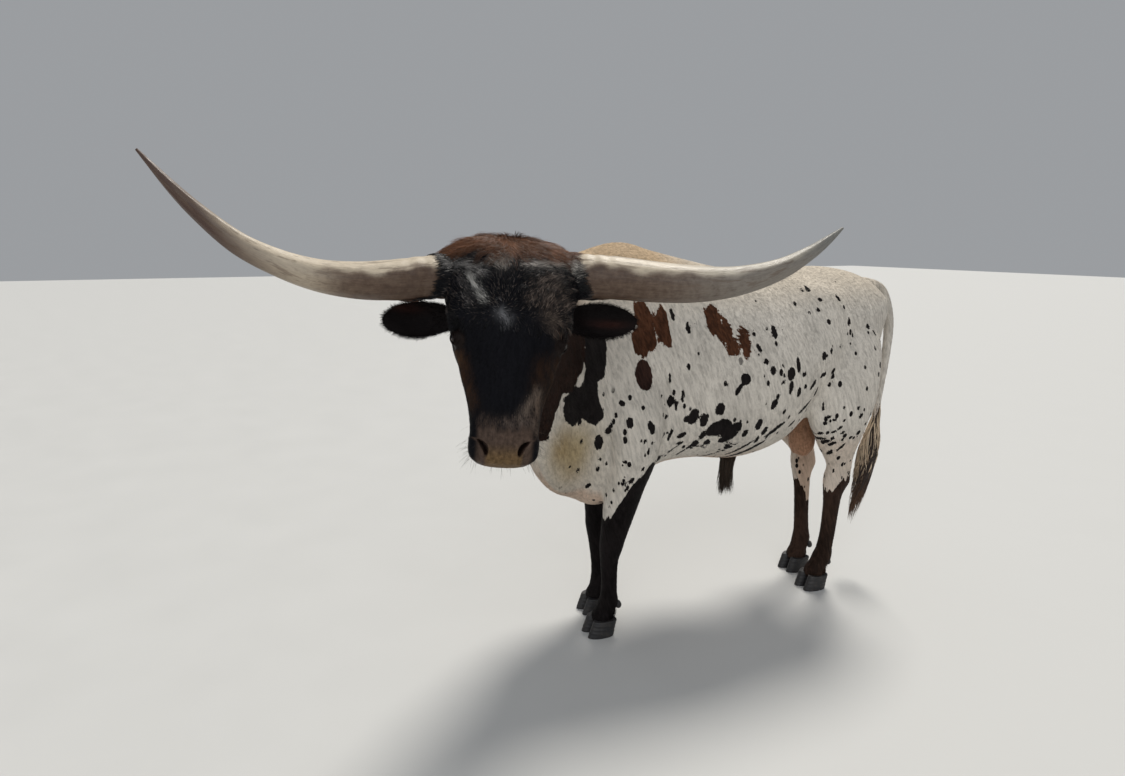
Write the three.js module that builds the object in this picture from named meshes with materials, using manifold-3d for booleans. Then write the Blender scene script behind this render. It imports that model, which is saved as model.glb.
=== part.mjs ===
// A texas longhorn bull standing still, head turned to its left, as a life-size museum model.
// Millimetres. +Z is up, the trunk points along -Y, and the animal's left side is +X.
// Each part is lofted through a few stations whose sizes reach out to the tips of the coat.
import * as THREE from "three";
import Module from "manifold-3d";
import { mergeVertices } from "three/addons/utils/BufferGeometryUtils.js";

const wasm = await Module();
wasm.setup();

// Driving sizes
const GAP = 0.35; // clear space left between neighbouring parts
const WITHERS_HEIGHT = 1444;
const BELLY_HALF_WIDTH = 318;
const HEAD_LENGTH = 614;
const HORN_BASE_RADIUS = 60;
const EYE_RADIUS = 23;
const HOOF_LENGTH = 112;
const HOOF_HEIGHT = 62;
const CLAW_HALF_WIDTH = 27;

// Where the head is carried: the middle of the line through the horn bases, and its turns in degrees
const HORN_AXIS_POINT = new THREE.Vector3(550, -1035, 1378);
const HEAD_TURN = 75; // to the left of the way the trunk points
const FACE_SLOPE = 69; // of the face below the horizontal
const HEAD_TILT = -5.5; // right horn higher than the left

const LEFT = 1;
const RIGHT = -1;
const UP = new THREE.Vector3(0, 0, 1);
const REARWARD = new THREE.Vector3(0, 1, 0);

const colours = {
  whiteCoat: "#cfc6b8",
  darkCoat: "#1d1613",
  horn: "#a99a86",
  hoof: "#2b2624",
  eye: "#120c0a",
  scrotum: "#a5795a",
  switchHair: "#8a7356",
};

function material(colour, roughness) {
  return new THREE.MeshStandardMaterial({ color: colour, roughness, metalness: 0 });
}

// Sine or cosine raised so that a ring goes from round (2) towards square (above 2) or ridged (below).
function squared(value, power) {
  return Math.sign(value) * Math.abs(value) ** (2 / power);
}

// A smooth swelling of the surface, such as a muscle or the end of a bone: how far it stands out,
// and how far it spreads along x, y and z. A hollow has a height below nothing.
function bump(x, y, z, height, spread) {
  return { centre: new THREE.Vector3(x, y, z), height, spread };
}

function bothSides(bumps) {
  return bumps.flatMap((b) => {
    const mirrored = { ...b, centre: b.centre.clone() };
    mirrored.centre.x *= -1;
    return [b, mirrored];
  });
}

function raise(point, outward, bumps) {
  let height = 0;
  for (const b of bumps) {
    const away = point.clone().sub(b.centre).divide(new THREE.Vector3(...b.spread));
    height += b.height * Math.exp(-away.lengthSq());
  }
  return point.addScaledVector(outward, height);
}

function curveThrough(rows) {
  const points = rows.map((row) => new THREE.Vector3(...row));
  return new THREE.CatmullRomCurve3(points, false, "catmullrom", 0.5);
}

// A closed body through oval rings. A station holds the ring's centre (at), its half-width to the side
// (wide), its reach towards the hint direction (over) and away from it (under), and how square those
// two halves are (topPower, lowPower).
function loft(stations, { sides, rings, hint = UP, along = null, bumps = [] }) {
  const centres = curveThrough(stations.map((s) => s.at));
  const reaches = curveThrough(stations.map((s) => [s.wide, s.over, s.under]));
  const powers = curveThrough(stations.map((s) => [s.topPower ?? 2, s.lowPower ?? 2, 0]));
  const points = [];
  for (let ring = 0; ring <= rings; ring += 1) {
    const t = ring / rings;
    const centre = centres.getPoint(t);
    const tangent = along ? along.clone() : centres.getTangent(t);
    const side = tangent.clone().cross(hint).normalize();
    const over = side.clone().cross(tangent).normalize();
    const reach = reaches.getPoint(t);
    const power = powers.getPoint(t);
    for (let k = 0; k < sides; k += 1) {
      const angle = ((k + 0.5) / sides) * 2 * Math.PI;
      const [c, s] = [Math.cos(angle), Math.sin(angle)];
      const shape = s > 0 ? power.x : power.y;
      const across = squared(c, shape) * reach.x;
      const up = squared(s, shape) * (s > 0 ? reach.y : reach.z);
      const offset = side.clone().multiplyScalar(across).addScaledVector(over, up);
      const point = centre.clone().add(offset);
      points.push(raise(point, offset.normalize(), bumps));
    }
  }
  const first = new THREE.Vector3();
  const last = new THREE.Vector3();
  for (let k = 0; k < sides; k += 1) {
    first.add(points[k]);
    last.add(points[rings * sides + k]);
  }
  points.push(first.divideScalar(sides), last.divideScalar(sides));
  const [startPole, endPole] = [points.length - 2, points.length - 1];
  const faces = [];
  for (let k = 0; k < sides; k += 1) {
    const next = (k + 1) % sides;
    for (let ring = 0; ring < rings; ring += 1) {
      const [a, b] = [ring * sides + k, ring * sides + next];
      faces.push(a, a + sides, b, b, a + sides, b + sides);
    }
    faces.push(startPole, k, next);
    faces.push(endPole, rings * sides + next, rings * sides + k);
  }
  return solid(points, faces);
}

function solid(points, faces) {
  const made = new wasm.Manifold(
    new wasm.Mesh({
      numProp: 3,
      vertProperties: new Float32Array(points.flatMap((p) => [p.x, p.y, p.z])),
      triVerts: new Uint32Array(faces),
    }),
  );
  if (made.volume() > 0) return made;
  const turned = [];
  for (let i = 0; i < faces.length; i += 3) turned.push(faces[i], faces[i + 2], faces[i + 1]);
  return solid(points, turned);
}

function geometrySolid(geometry, matrix) {
  const bare = geometry.clone().applyMatrix4(matrix);
  bare.deleteAttribute("normal");
  bare.deleteAttribute("uv");
  const merged = mergeVertices(bare, 1e-3);
  return new wasm.Manifold(
    new wasm.Mesh({
      numProp: 3,
      vertProperties: merged.attributes.position.array,
      triVerts: new Uint32Array(merged.index.array),
    }),
  );
}

function ellipsoid(centre, radii, turns = [0, 0, 0], segments = [16, 10]) {
  const matrix = new THREE.Matrix4().compose(
    new THREE.Vector3(...centre),
    new THREE.Quaternion().setFromEuler(new THREE.Euler(...turns.map(THREE.MathUtils.degToRad))),
    new THREE.Vector3(...radii),
  );
  return geometrySolid(new THREE.SphereGeometry(1, ...segments), matrix);
}

// A copy a gap larger all round, to cut a neighbour with.
function grown(body, gap = 1.6 * GAP) {
  const { numVert, numProp, vertProperties, triVerts } = body.getMesh();
  const points = [];
  const normals = [];
  for (let i = 0; i < numVert; i += 1) {
    points.push(new THREE.Vector3().fromArray(vertProperties, i * numProp));
    normals.push(new THREE.Vector3());
  }
  for (let i = 0; i < triVerts.length; i += 3) {
    const [a, b, c] = [triVerts[i], triVerts[i + 1], triVerts[i + 2]];
    const edge = points[b].clone().sub(points[a]);
    const faceNormal = edge.cross(points[c].clone().sub(points[a])).normalize();
    for (const v of [a, b, c]) normals[v].add(faceNormal);
  }
  points.forEach((p, i) => p.addScaledVector(normals[i].normalize(), gap));
  return solid(points, [...triVerts]);
}

// The largest single body of a cut, without the slivers a cut can leave.
function largest(manifold) {
  return manifold.decompose().reduce((best, body) => (body.volume() > best.volume() ? body : best));
}

function cutBy(body, ...neighbours) {
  return largest(neighbours.reduce((rest, n) => rest.subtract(n), body));
}

// Trunk: chest, barrel, belly, loin and rump. Stations run from the breast to the tail head.
const trunkStations = [
  { y: -742, top: 790, low: 604, half: 62, widest: 690 },
  { y: -700, top: 990, low: 556, half: 135, widest: 750 },
  { y: -620, top: 1270, low: 520, half: 190, widest: 830 },
  { y: -530, top: 1438, low: 482, half: 222, widest: 910 },
  { y: -430, top: WITHERS_HEIGHT + 30, low: 530, half: 240, widest: 930 },
  { y: -310, top: WITHERS_HEIGHT + 2, low: 618, half: 258, widest: 930 },
  { y: -150, top: 1409, low: 634, half: 296, widest: 930 },
  { y: 30, top: 1374, low: 612, half: BELLY_HALF_WIDTH, widest: 935 },
  { y: 200, top: 1372, low: 640, half: 308, widest: 965 },
  { y: 340, top: 1374, low: 712, half: 272, widest: 1030 },
  { y: 470, top: 1378, low: 782, half: 240, widest: 1100 },
  { y: 600, top: 1362, low: 832, half: 215, widest: 1130 },
  { y: 700, top: 1334, low: 872, half: 172, widest: 1140 },
  { y: 775, top: 1292, low: 1080, half: 108, widest: 1160 },
  { y: 802, top: 1228, low: 1128, half: 52, widest: 1166 },
];

const trunkBumps = bothSides([
  bump(235, -500, 990, 30, [130, 120, 230]), // shoulder muscle
  bump(215, -640, 880, 26, [110, 80, 90]), // point of the shoulder
  bump(120, -400, 1360, 14, [70, 130, 70]), // top of the shoulder blade
  bump(250, 400, 1250, 34, [95, 75, 60]), // hook bone
  bump(120, 745, 1205, 28, [70, 60, 55]), // pin bone
  bump(250, 260, 1160, -22, [110, 110, 110]), // hunger hollow behind the ribs
  bump(230, 330, 830, -20, [90, 90, 90]), // flank
  bump(90, 330, 1380, -10, [60, 190, 50]), // dip beside the spine of the loin
]);

function trunk() {
  const stations = trunkStations.map((s) => ({
    at: [0, s.y, s.widest],
    wide: s.half,
    over: s.top - s.widest,
    under: s.widest - s.low,
    topPower: 1.9,
    lowPower: 2.15,
  }));
  return loft(stations, { sides: 24, rings: 21, along: REARWARD, bumps: trunkBumps });
}

// Neck: from inside the head back to the shoulders, bending to the left. Its narrow lower edge is the
// dewlap.
const neckStations = [
  { at: [468, -990, 1240], wide: 95, over: 125, under: 120, topPower: 2.1, lowPower: 2.0 },
  { at: [410, -968, 1222], wide: 118, over: 200, under: 185, topPower: 2.0, lowPower: 1.9 },
  { at: [305, -898, 1178], wide: 130, over: 262, under: 250, topPower: 1.8, lowPower: 1.7 },
  { at: [190, -800, 1122], wide: 150, over: 325, under: 325, topPower: 1.7, lowPower: 1.6 },
  { at: [82, -670, 1060], wide: 180, over: 408, under: 450, topPower: 1.7, lowPower: 1.6 },
  { at: [15, -540, 1020], wide: 205, over: 466, under: 490, topPower: 1.7, lowPower: 1.8 },
  { at: [0, -430, 1000], wide: 200, over: 472, under: 400, topPower: 1.8, lowPower: 2 },
];

function neck() {
  return loft(neckStations, { sides: 20, rings: 10 });
}

// Head frame: x to the animal's left, y down the face from the poll to the muzzle, z out of the
// forehead. Its matrix mirrors, because those three make a left-handed set.
const HORN_AXIS_DOWN = 108; // from the top of the poll
const EYE_DOWN = 294;
const NOSTRIL_DOWN = 552;
const DOWN_FACE = new THREE.Vector3(0, 1, 0);
const OUT_OF_FACE = new THREE.Vector3(0, 0, 1);

function headMatrix() {
  const turn = THREE.MathUtils.degToRad(HEAD_TURN);
  const slope = THREE.MathUtils.degToRad(FACE_SLOPE);
  const facing = new THREE.Vector3(Math.sin(turn), -Math.cos(turn), 0);
  const left = new THREE.Vector3(Math.cos(turn), Math.sin(turn), 0);
  const downFace = facing.clone().multiplyScalar(Math.cos(slope)).addScaledVector(UP, -Math.sin(slope));
  const outOfFace = downFace.clone().cross(left);
  const matrix = new THREE.Matrix4().makeBasis(left, downFace, outOfFace);
  const tilt = new THREE.Matrix4().makeRotationAxis(facing, THREE.MathUtils.degToRad(HEAD_TILT));
  const origin = downFace.clone().multiplyScalar(-HORN_AXIS_DOWN).applyMatrix4(tilt).add(HORN_AXIS_POINT);
  return tilt.multiply(matrix).setPosition(origin);
}

const HEAD = headMatrix();

function inHead(manifold) {
  return manifold.transform(HEAD.elements);
}

const headStations = [
  { at: [0, -14, -30], wide: 66, over: 22, under: 24 },
  { at: [0, 0, -28], wide: 118, over: 48, under: 50 },
  { at: [0, 40, -18], wide: 168, over: 88, under: 90 },
  { at: [0, 108, -8], wide: 176, over: 104, under: 112 },
  { at: [0, 175, 0], wide: 174, over: 102, under: 122 },
  { at: [0, 235, 0], wide: 165, over: 97, under: 130 },
  { at: [0, 290, 0], wide: 147, over: 90, under: 120 },
  { at: [0, 345, 0], wide: 131, over: 84, under: 96 },
  { at: [0, 410, 2], wide: 115, over: 74, under: 70 },
  { at: [0, 475, 4], wide: 100, over: 64, under: 56 },
  { at: [0, 530, 6], wide: 92, over: 58, under: 54 },
  { at: [0, 575, 2], wide: 93, over: 50, under: 48 },
  { at: [0, 604, -4], wide: 72, over: 30, under: 34 },
  { at: [0, HEAD_LENGTH, -8], wide: 40, over: 12, under: 12 },
].map((s) => ({ topPower: 2.3, lowPower: 2.2, ...s }));

const headBumps = bothSides([
  bump(182, HORN_AXIS_DOWN - 6, -8, 28, [60, 56, 70]), // hairy skin at the foot of the horn
  bump(142, 254, 48, 13, [42, 34, 44]), // brow ridge
  bump(148, 330, 20, 9, [34, 24, 34]), // lower rim of the eye socket
  bump(152, EYE_DOWN, 28, -13, [24, 24, 26]), // socket of the eye
  bump(128, 320, -70, 16, [50, 70, 50]), // cheek muscle
  bump(80, 380, 72, -7, [30, 60, 30]), // hollow beside the bridge of the nose
  bump(72, NOSTRIL_DOWN, 34, 7, [26, 26, 26]), // wing of the nostril
]).concat([
  bump(0, 30, 70, 8, [120, 50, 60]), // hair of the poll
]);

function wholeHead() {
  return loft(headStations, {
    sides: 24,
    rings: 19,
    hint: OUT_OF_FACE,
    along: DOWN_FACE,
    bumps: headBumps,
  });
}

// Lower jaw, narrower than the muzzle above it, from the angle of the jaw to the chin.
const jawStations = [
  { at: [0, 235, -92], wide: 74, over: 30, under: 40 },
  { at: [0, 265, -100], wide: 96, over: 50, under: 62 },
  { at: [0, 320, -95], wide: 90, over: 50, under: 60 },
  { at: [0, 390, -75], wide: 74, over: 45, under: 48 },
  { at: [0, 460, -58], wide: 64, over: 40, under: 38 },
  { at: [0, 520, -48], wide: 62, over: 36, under: 34 },
  { at: [0, 566, -44], wide: 54, over: 26, under: 28 },
  { at: [0, 586, -42], wide: 26, over: 10, under: 12 },
];

function lowerJaw() {
  return loft(jawStations, { sides: 12, rings: 9, hint: OUT_OF_FACE, along: DOWN_FACE });
}

function eyeball(side) {
  const radii = [EYE_RADIUS, EYE_RADIUS, EYE_RADIUS];
  return ellipsoid([side * 133, EYE_DOWN, 28], radii, [0, 0, 0], [10, 8]);
}

function nostril(side) {
  return ellipsoid([side * 48, NOSTRIL_DOWN + 16, 48], [9, 20, 24], [-18, 0, side * -32], [10, 6]);
}

// Ear: a leaf cupped towards the front, standing out to the side under the horn.
const EAR_ROOT = 130; // from the middle of the head to the hidden root
const earShapes = {
  [LEFT]: { reach: 361, rootDown: 199, tipDown: 191 },
  [RIGHT]: { reach: 332, rootDown: 216, tipDown: 243 },
};
const earStations = [
  { along: 0, wide: 24, over: 14, under: 22 },
  { along: 0.18, wide: 38, over: -2, under: 30 },
  { along: 0.4, wide: 49, over: -16, under: 34 },
  { along: 0.6, wide: 51, over: -16, under: 31 },
  { along: 0.8, wide: 42, over: -8, under: 22 },
  { along: 0.94, wide: 25, over: -1, under: 13 },
  { along: 1, wide: 8, over: 3, under: 6 },
];

function ear(side) {
  const { reach, rootDown, tipDown } = earShapes[side];
  const stations = earStations.map((s) => {
    const out = EAR_ROOT + s.along * (reach - EAR_ROOT);
    return { ...s, at: [side * out, rootDown + (tipDown - rootDown) * s.along, s.along * 6 - 52] };
  });
  return loft(stations, { sides: 10, rings: 9, hint: OUT_OF_FACE });
}

// A horn leaves the head sideways, dips a little and then sweeps up to its tip. The two are not quite
// alike. Each row is how far out from the middle of the head, how far below the line through the bases,
// how far ahead, and how thick the horn is there as a share of its base.
const hornPaths = {
  [LEFT]: [
    [130, -20, -14, 1.02],
    [205, -18, 4, 1.03],
    [285, -14, 22, 1],
    [391, -6, 43, 0.94],
    [497, -5, 62, 0.85],
    [605, -20, 76, 0.7],
    [717, -59, 85, 0.52],
    [805, -112, 87, 0.35],
    [866, -159, 86, 0.21],
    [914, -201, 84, 0.06],
  ],
  [RIGHT]: [
    [130, 8, -14, 1],
    [210, 22, 5, 0.98],
    [298, 44, 24, 0.91],
    [392, 61, 44, 0.81],
    [487, 62, 60, 0.69],
    [581, 43, 73, 0.58],
    [676, 4, 82, 0.48],
    [774, -65, 87, 0.35],
    [850, -131, 87, 0.23],
    [930, -208, 83, 0.06],
  ],
};

function horn(side) {
  const stations = hornPaths[side].map(([out, down, ahead, thick]) => {
    const wide = HORN_BASE_RADIUS * thick;
    const at = [side * out, HORN_AXIS_DOWN + down, ahead];
    return { at, wide, over: wide * 0.95, under: wide * 0.95 };
  });
  return loft(stations, { sides: 10, rings: 15, hint: OUT_OF_FACE });
}

// Legs. Stations run down the leg; over is the reach to the rear and under the reach to the front.
const forelegStations = [
  { at: [150, -450, 1040], wide: 90, over: 110, under: 130 },
  { at: [188, -450, 880], wide: 98, over: 118, under: 135 },
  { at: [192, -456, 760], wide: 90, over: 100, under: 112 },
  { at: [182, -464, 690], wide: 78, over: 94, under: 92 },
  { at: [164, -478, 610], wide: 64, over: 90, under: 74 },
  { at: [148, -487, 535], wide: 54, over: 86, under: 62 },
  { at: [134, -493, 465], wide: 47, over: 77, under: 54 },
  { at: [126, -499, 400], wide: 46, over: 62, under: 48 },
  { at: [120, -501, 350], wide: 47, over: 48, under: 46 },
  { at: [113, -500, 295], wide: 37, over: 36, under: 41 },
  { at: [105, -498, 215], wide: 32, over: 36, under: 35 },
  { at: [99, -496, 160], wide: 34, over: 38, under: 36 },
  { at: [95, -496, 126], wide: 41, over: 44, under: 40 },
  { at: [90, -506, 92], wide: 40, over: 40, under: 38 },
  { at: [87, -514, HOOF_HEIGHT + 6], wide: 49, over: 42, under: 46 },
  { at: [86, -515, HOOF_HEIGHT - 14], wide: 49, over: 42, under: 46 },
];

const hindlegStations = [
  { at: [95, 560, 1150], wide: 90, over: 142, under: 150 },
  { at: [150, 565, 1040], wide: 112, over: 116, under: 200 },
  { at: [172, 560, 910], wide: 118, over: 93, under: 215 },
  { at: [178, 545, 790], wide: 104, over: 84, under: 205 },
  { at: [168, 550, 700], wide: 80, over: 53, under: 155 },
  { at: [154, 562, 615], wide: 56, over: 33, under: 112 },
  { at: [144, 562, 545], wide: 45, over: 50, under: 76 },
  { at: [138, 547, 490], wide: 44, over: 72, under: 66 },
  { at: [133, 540, 430], wide: 38, over: 50, under: 50 },
  { at: [128, 540, 370], wide: 33, over: 43, under: 42 },
  { at: [120, 538, 260], wide: 31, over: 41, under: 39 },
  { at: [110, 534, 180], wide: 34, over: 42, under: 38 },
  { at: [104, 530, 138], wide: 42, over: 48, under: 42 },
  { at: [98, 514, 98], wide: 42, over: 42, under: 40 },
  { at: [95, 502, HOOF_HEIGHT + 6], wide: 49, over: 42, under: 46 },
  { at: [94, 501, HOOF_HEIGHT - 14], wide: 49, over: 42, under: 46 },
];

// set: how far the lower leg stands to the animal's left and to the rear of its stations
const legs = [
  { name: "foreleg_left", side: LEFT, stations: forelegStations, joint: 405, set: [-4, -4] },
  { name: "foreleg_right", side: RIGHT, stations: forelegStations, joint: 405, set: [-8, 54] },
  { name: "hindleg_left", side: LEFT, stations: hindlegStations, joint: 470, set: [-2, -4] },
  { name: "hindleg_right", side: RIGHT, stations: hindlegStations, joint: 470, set: [8, 50] },
];

// One station of a leg on its own side. The setting comes in smoothly from the top of the leg to the knee.
function placed({ side, stations, set }, { at, ...sizes }) {
  const [x, y, z] = at;
  const topHeight = stations[2].at[2];
  const kneeHeight = stations[0].at[2] * 0.38;
  const share = THREE.MathUtils.smoothstep(-z, -topHeight, -kneeHeight);
  return { ...sizes, at: [side * x + set[0] * share, y + set[1] * share, z] };
}

function leg(plan) {
  const stations = plan.stations.map((s) => placed(plan, s));
  return loft(stations, { sides: 10, rings: 18, hint: REARWARD });
}

function footPlace(plan) {
  return placed(plan, plan.stations[plan.stations.length - 1]).at;
}

// A slab wider than the animal, from one height up to another.
function slab(low, high) {
  const place = new THREE.Matrix4().makeTranslation(0, 0, (low + high) / 2);
  return geometrySolid(new THREE.BoxGeometry(2000, 4000, high - low), place);
}

// One claw of a cloven hoof: flat below, its wall sloping forward to a blunt toe.
function claw(x, y, side) {
  const length = HOOF_LENGTH / 2;
  const stations = [
    { z: HOOF_HEIGHT, forward: 0, long: length * 0.9, wide: CLAW_HALF_WIDTH * 0.92 },
    { z: HOOF_HEIGHT * 0.66, forward: 6, long: length * 0.93, wide: CLAW_HALF_WIDTH * 0.96 },
    { z: HOOF_HEIGHT * 0.33, forward: 12, long: length * 0.97, wide: CLAW_HALF_WIDTH },
    { z: 0, forward: 17, long: length, wide: CLAW_HALF_WIDTH },
  ].map((s) => ({
    at: [x + side * (CLAW_HALF_WIDTH + 1.5), y - s.forward, s.z],
    wide: s.wide,
    over: s.long * 0.86,
    under: s.long,
    topPower: 2.6,
    lowPower: 1.9,
  }));
  return loft(stations, { sides: 10, rings: 3, hint: REARWARD, along: new THREE.Vector3(0, 0, -1) });
}

function dewclaw(x, y, side) {
  return ellipsoid([x + side * 21, y + 60, 112], [12, 14, 19], [25, 0, 0], [6, 4]);
}

// Tail: over the rump, down behind the thighs, then its hair, the switch.
const tailStations = [
  { at: [0, 690, 1296], wide: 34, over: 24, under: 30 },
  { at: [0, 765, 1290], wide: 36, over: 26, under: 30 },
  { at: [4, 846, 1252], wide: 32, over: 26, under: 26 },
  { at: [12, 894, 1130], wide: 26, over: 22, under: 22 },
  { at: [20, 888, 980], wide: 21, over: 19, under: 19 },
  { at: [24, 866, 830], wide: 18, over: 17, under: 17 },
  { at: [24, 848, 690], wide: 16, over: 15, under: 15 },
];

const switchStations = [
  { at: [24, 848, 688.7], wide: 16, over: 15, under: 15 },
  { at: [22, 842, 620], wide: 38, over: 46, under: 46 },
  { at: [20, 828, 540], wide: 46, over: 60, under: 60 },
  { at: [16, 812, 450], wide: 40, over: 48, under: 48 },
  { at: [10, 790, 330], wide: 32, over: 46, under: 46 },
  { at: [4, 772, 230], wide: 20, over: 26, under: 26 },
  { at: [0, 766, 172], wide: 6, over: 7, under: 7 },
];

function tail() {
  return loft(tailStations, { sides: 8, rings: 12, hint: REARWARD });
}

function tailSwitch() {
  return loft(switchStations, { sides: 8, rings: 9, hint: REARWARD });
}

const scrotumStations = [
  { at: [0, 470, 810], wide: 30, over: 30, under: 30 },
  { at: [0, 470, 740], wide: 46, over: 40, under: 40 },
  { at: [0, 468, 670], wide: 62, over: 50, under: 50 },
  { at: [0, 465, 612], wide: 62, over: 50, under: 50 },
  { at: [0, 463, 568], wide: 36, over: 30, under: 30 },
];

const sheathStations = [
  { at: [0, 112, 690], wide: 45, over: 75, under: 85 },
  { at: [0, 98, 612], wide: 36, over: 55, under: 62 },
  { at: [0, 80, 560], wide: 25, over: 32, under: 34 },
  { at: [0, 70, 500], wide: 20, over: 23, under: 23 },
  { at: [0, 66, 432], wide: 8, over: 9, under: 9 },
];

// Assembly
const group = new THREE.Group();
const solids = new Map();

function add(name, body, colour, roughness = 0.85) {
  solids.set(name, { body, colour, roughness });
}

const trunkBody = trunk();
const headBody = inHead(wholeHead());
const jawBody = inHead(lowerJaw());
const trunkCutter = grown(trunkBody);
const headCutter = grown(headBody);
const neckBody = cutBy(neck(), trunkCutter, headCutter, grown(jawBody));
const neckCutter = grown(neck());

add("trunk", trunkBody, colours.whiteCoat);
add("neck", neckBody, colours.darkCoat);
let skull = headBody;
for (const [side, word] of [[LEFT, "left"], [RIGHT, "right"]]) {
  const eye = inHead(eyeball(side));
  skull = cutBy(skull, inHead(nostril(side)), grown(eye));
  add(`eye_${word}`, eye, colours.eye, 0.15);
  add(`ear_${word}`, cutBy(inHead(ear(side)), headCutter, neckCutter), colours.darkCoat);
  add(`horn_${word}`, cutBy(inHead(horn(side)), headCutter), colours.horn, 0.45);
}
add("head", skull, colours.darkCoat);
add("lower_jaw", cutBy(jawBody, headCutter), colours.darkCoat);

const legCutters = [];
for (const plan of legs) {
  const [footX, footY] = footPlace(plan);
  const whole = leg(plan);
  legCutters.push(grown(whole));
  const free = whole.subtract(trunkCutter).subtract(neckCutter);
  const upper = free.intersect(slab(plan.joint + GAP, 2000));
  add(`${plan.name}_upper`, largest(upper), colours.whiteCoat);
  const outer = claw(footX, footY, plan.side);
  const inner = claw(footX, footY, -plan.side);
  const lower = cutBy(free.intersect(slab(0, plan.joint)), grown(outer), grown(inner));
  const foot = lower.add(dewclaw(footX, footY, LEFT)).add(dewclaw(footX, footY, RIGHT));
  add(`${plan.name}_lower`, foot, colours.darkCoat);
  const hoofName = plan.name.replace("leg", "hoof");
  add(`${hoofName}_outer`, outer, colours.hoof, 0.5);
  add(`${hoofName}_inner`, inner, colours.hoof, 0.5);
}

add("tail", cutBy(tail(), trunkCutter), colours.whiteCoat);
add("tail_switch", tailSwitch(), colours.switchHair);
const scrotum = loft(scrotumStations, { sides: 10, rings: 7, hint: REARWARD });
add("scrotum", cutBy(scrotum, trunkCutter, ...legCutters), colours.scrotum);
const sheath = loft(sheathStations, { sides: 8, rings: 7, hint: REARWARD });
add("sheath", cutBy(sheath, trunkCutter), colours.darkCoat);

// The origin is on the floor, under the middle of the box round the whole animal.
const extent = new THREE.Box3();
for (const { body } of solids.values()) {
  const { min, max } = body.boundingBox();
  extent.expandByPoint(new THREE.Vector3(...min));
  extent.expandByPoint(new THREE.Vector3(...max));
}
const shift = extent.getCenter(new THREE.Vector3()).negate().setZ(0);

for (const [name, { body, colour, roughness }] of solids) {
  const mesh = body.getMesh();
  const positions = new Float32Array(mesh.numVert * 3);
  for (let i = 0; i < mesh.numVert; i += 1) {
    positions.set(mesh.vertProperties.subarray(i * mesh.numProp, i * mesh.numProp + 3), i * 3);
  }
  const geometry = new THREE.BufferGeometry();
  geometry.setAttribute("position", new THREE.BufferAttribute(positions, 3));
  geometry.setIndex(new THREE.BufferAttribute(new Uint32Array(mesh.triVerts), 1));
  const node = new THREE.Mesh(geometry, material(colour, roughness));
  node.name = name;
  node.position.copy(shift);
  group.add(node);
}
export default group;
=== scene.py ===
"""A life-size texas longhorn bull, standing with its head turned to its left.

One skin is lofted through the same stations as the solids, a coat's depth inside them, and sculpted.
Eyes, horns and hooves are pieces of their own, and the coat is grown over the skin in tufts.
Tables are in millimetres on the animal's own axes: x to its left, y to the rear, z up.
"""

import math

import bpy
import numpy as np
from bpy.props import FloatProperty, FloatVectorProperty, PointerProperty
from bpy.types import Operator, Panel, PropertyGroup
from mathutils import Matrix, Vector
from mathutils.bvhtree import BVHTree
from mathutils.kdtree import KDTree


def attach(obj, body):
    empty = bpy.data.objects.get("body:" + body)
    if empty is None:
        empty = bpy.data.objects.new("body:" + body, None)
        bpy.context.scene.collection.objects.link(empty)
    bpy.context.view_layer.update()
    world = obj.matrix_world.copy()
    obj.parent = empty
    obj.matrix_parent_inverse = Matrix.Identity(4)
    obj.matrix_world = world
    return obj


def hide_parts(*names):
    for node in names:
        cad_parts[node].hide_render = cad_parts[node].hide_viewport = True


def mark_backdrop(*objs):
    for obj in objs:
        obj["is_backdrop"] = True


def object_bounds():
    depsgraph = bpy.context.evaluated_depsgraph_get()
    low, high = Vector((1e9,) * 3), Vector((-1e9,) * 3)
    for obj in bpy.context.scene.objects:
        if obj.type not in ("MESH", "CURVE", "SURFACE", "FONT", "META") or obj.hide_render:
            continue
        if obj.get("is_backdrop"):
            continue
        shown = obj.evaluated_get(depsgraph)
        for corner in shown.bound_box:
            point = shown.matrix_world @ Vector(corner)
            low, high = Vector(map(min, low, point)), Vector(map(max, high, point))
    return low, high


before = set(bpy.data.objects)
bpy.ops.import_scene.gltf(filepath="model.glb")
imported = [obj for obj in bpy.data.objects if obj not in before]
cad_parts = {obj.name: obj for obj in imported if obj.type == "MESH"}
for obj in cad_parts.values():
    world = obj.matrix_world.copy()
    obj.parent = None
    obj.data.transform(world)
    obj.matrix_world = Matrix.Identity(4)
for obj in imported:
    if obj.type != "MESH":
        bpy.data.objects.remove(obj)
CAD_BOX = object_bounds()

bl_info = {
    "name": "Longhorn bull",
    "version": (1, 0, 0),
    "blender": (4, 5, 0),
    "location": "3D View > Sidebar > Longhorn",
    "description": "Builds a life-size longhorn bull: skin, coat, horns, eyes, hooves and stage",
    "category": "Add Mesh",
}

MM = 0.001
SHIFT = np.array([-0.25343, 0.49901, 0.0])  # from the animal's own axes to the frame
LEFT, RIGHT = 1, -1
SIDES = ((LEFT, "left"), (RIGHT, "right"))
UP = np.array([0.0, 0.0, 1.0])
REARWARD = np.array([0.0, 1.0, 0.0])

# Where the head is carried
HORN_AXIS_POINT = np.array([550.0, -1035.0, 1378.0])
HORN_AXIS_DOWN = 108
HEAD_TURN, FACE_SLOPE, HEAD_TILT = 75, 69, -5.5
EYE_AT = (130, 294, 26)
EYE_RADIUS = 21
SLIT_HALF, LID_OVER, LID_UNDER = 52, 24, 19  # the opening between the lids, in degrees round the eye
NOSTRIL_AT = (49, 567)
MUZZLE_END = 614
FACE_PARTS = ("head", "jaw", "mound_left", "mound_right")

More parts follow.
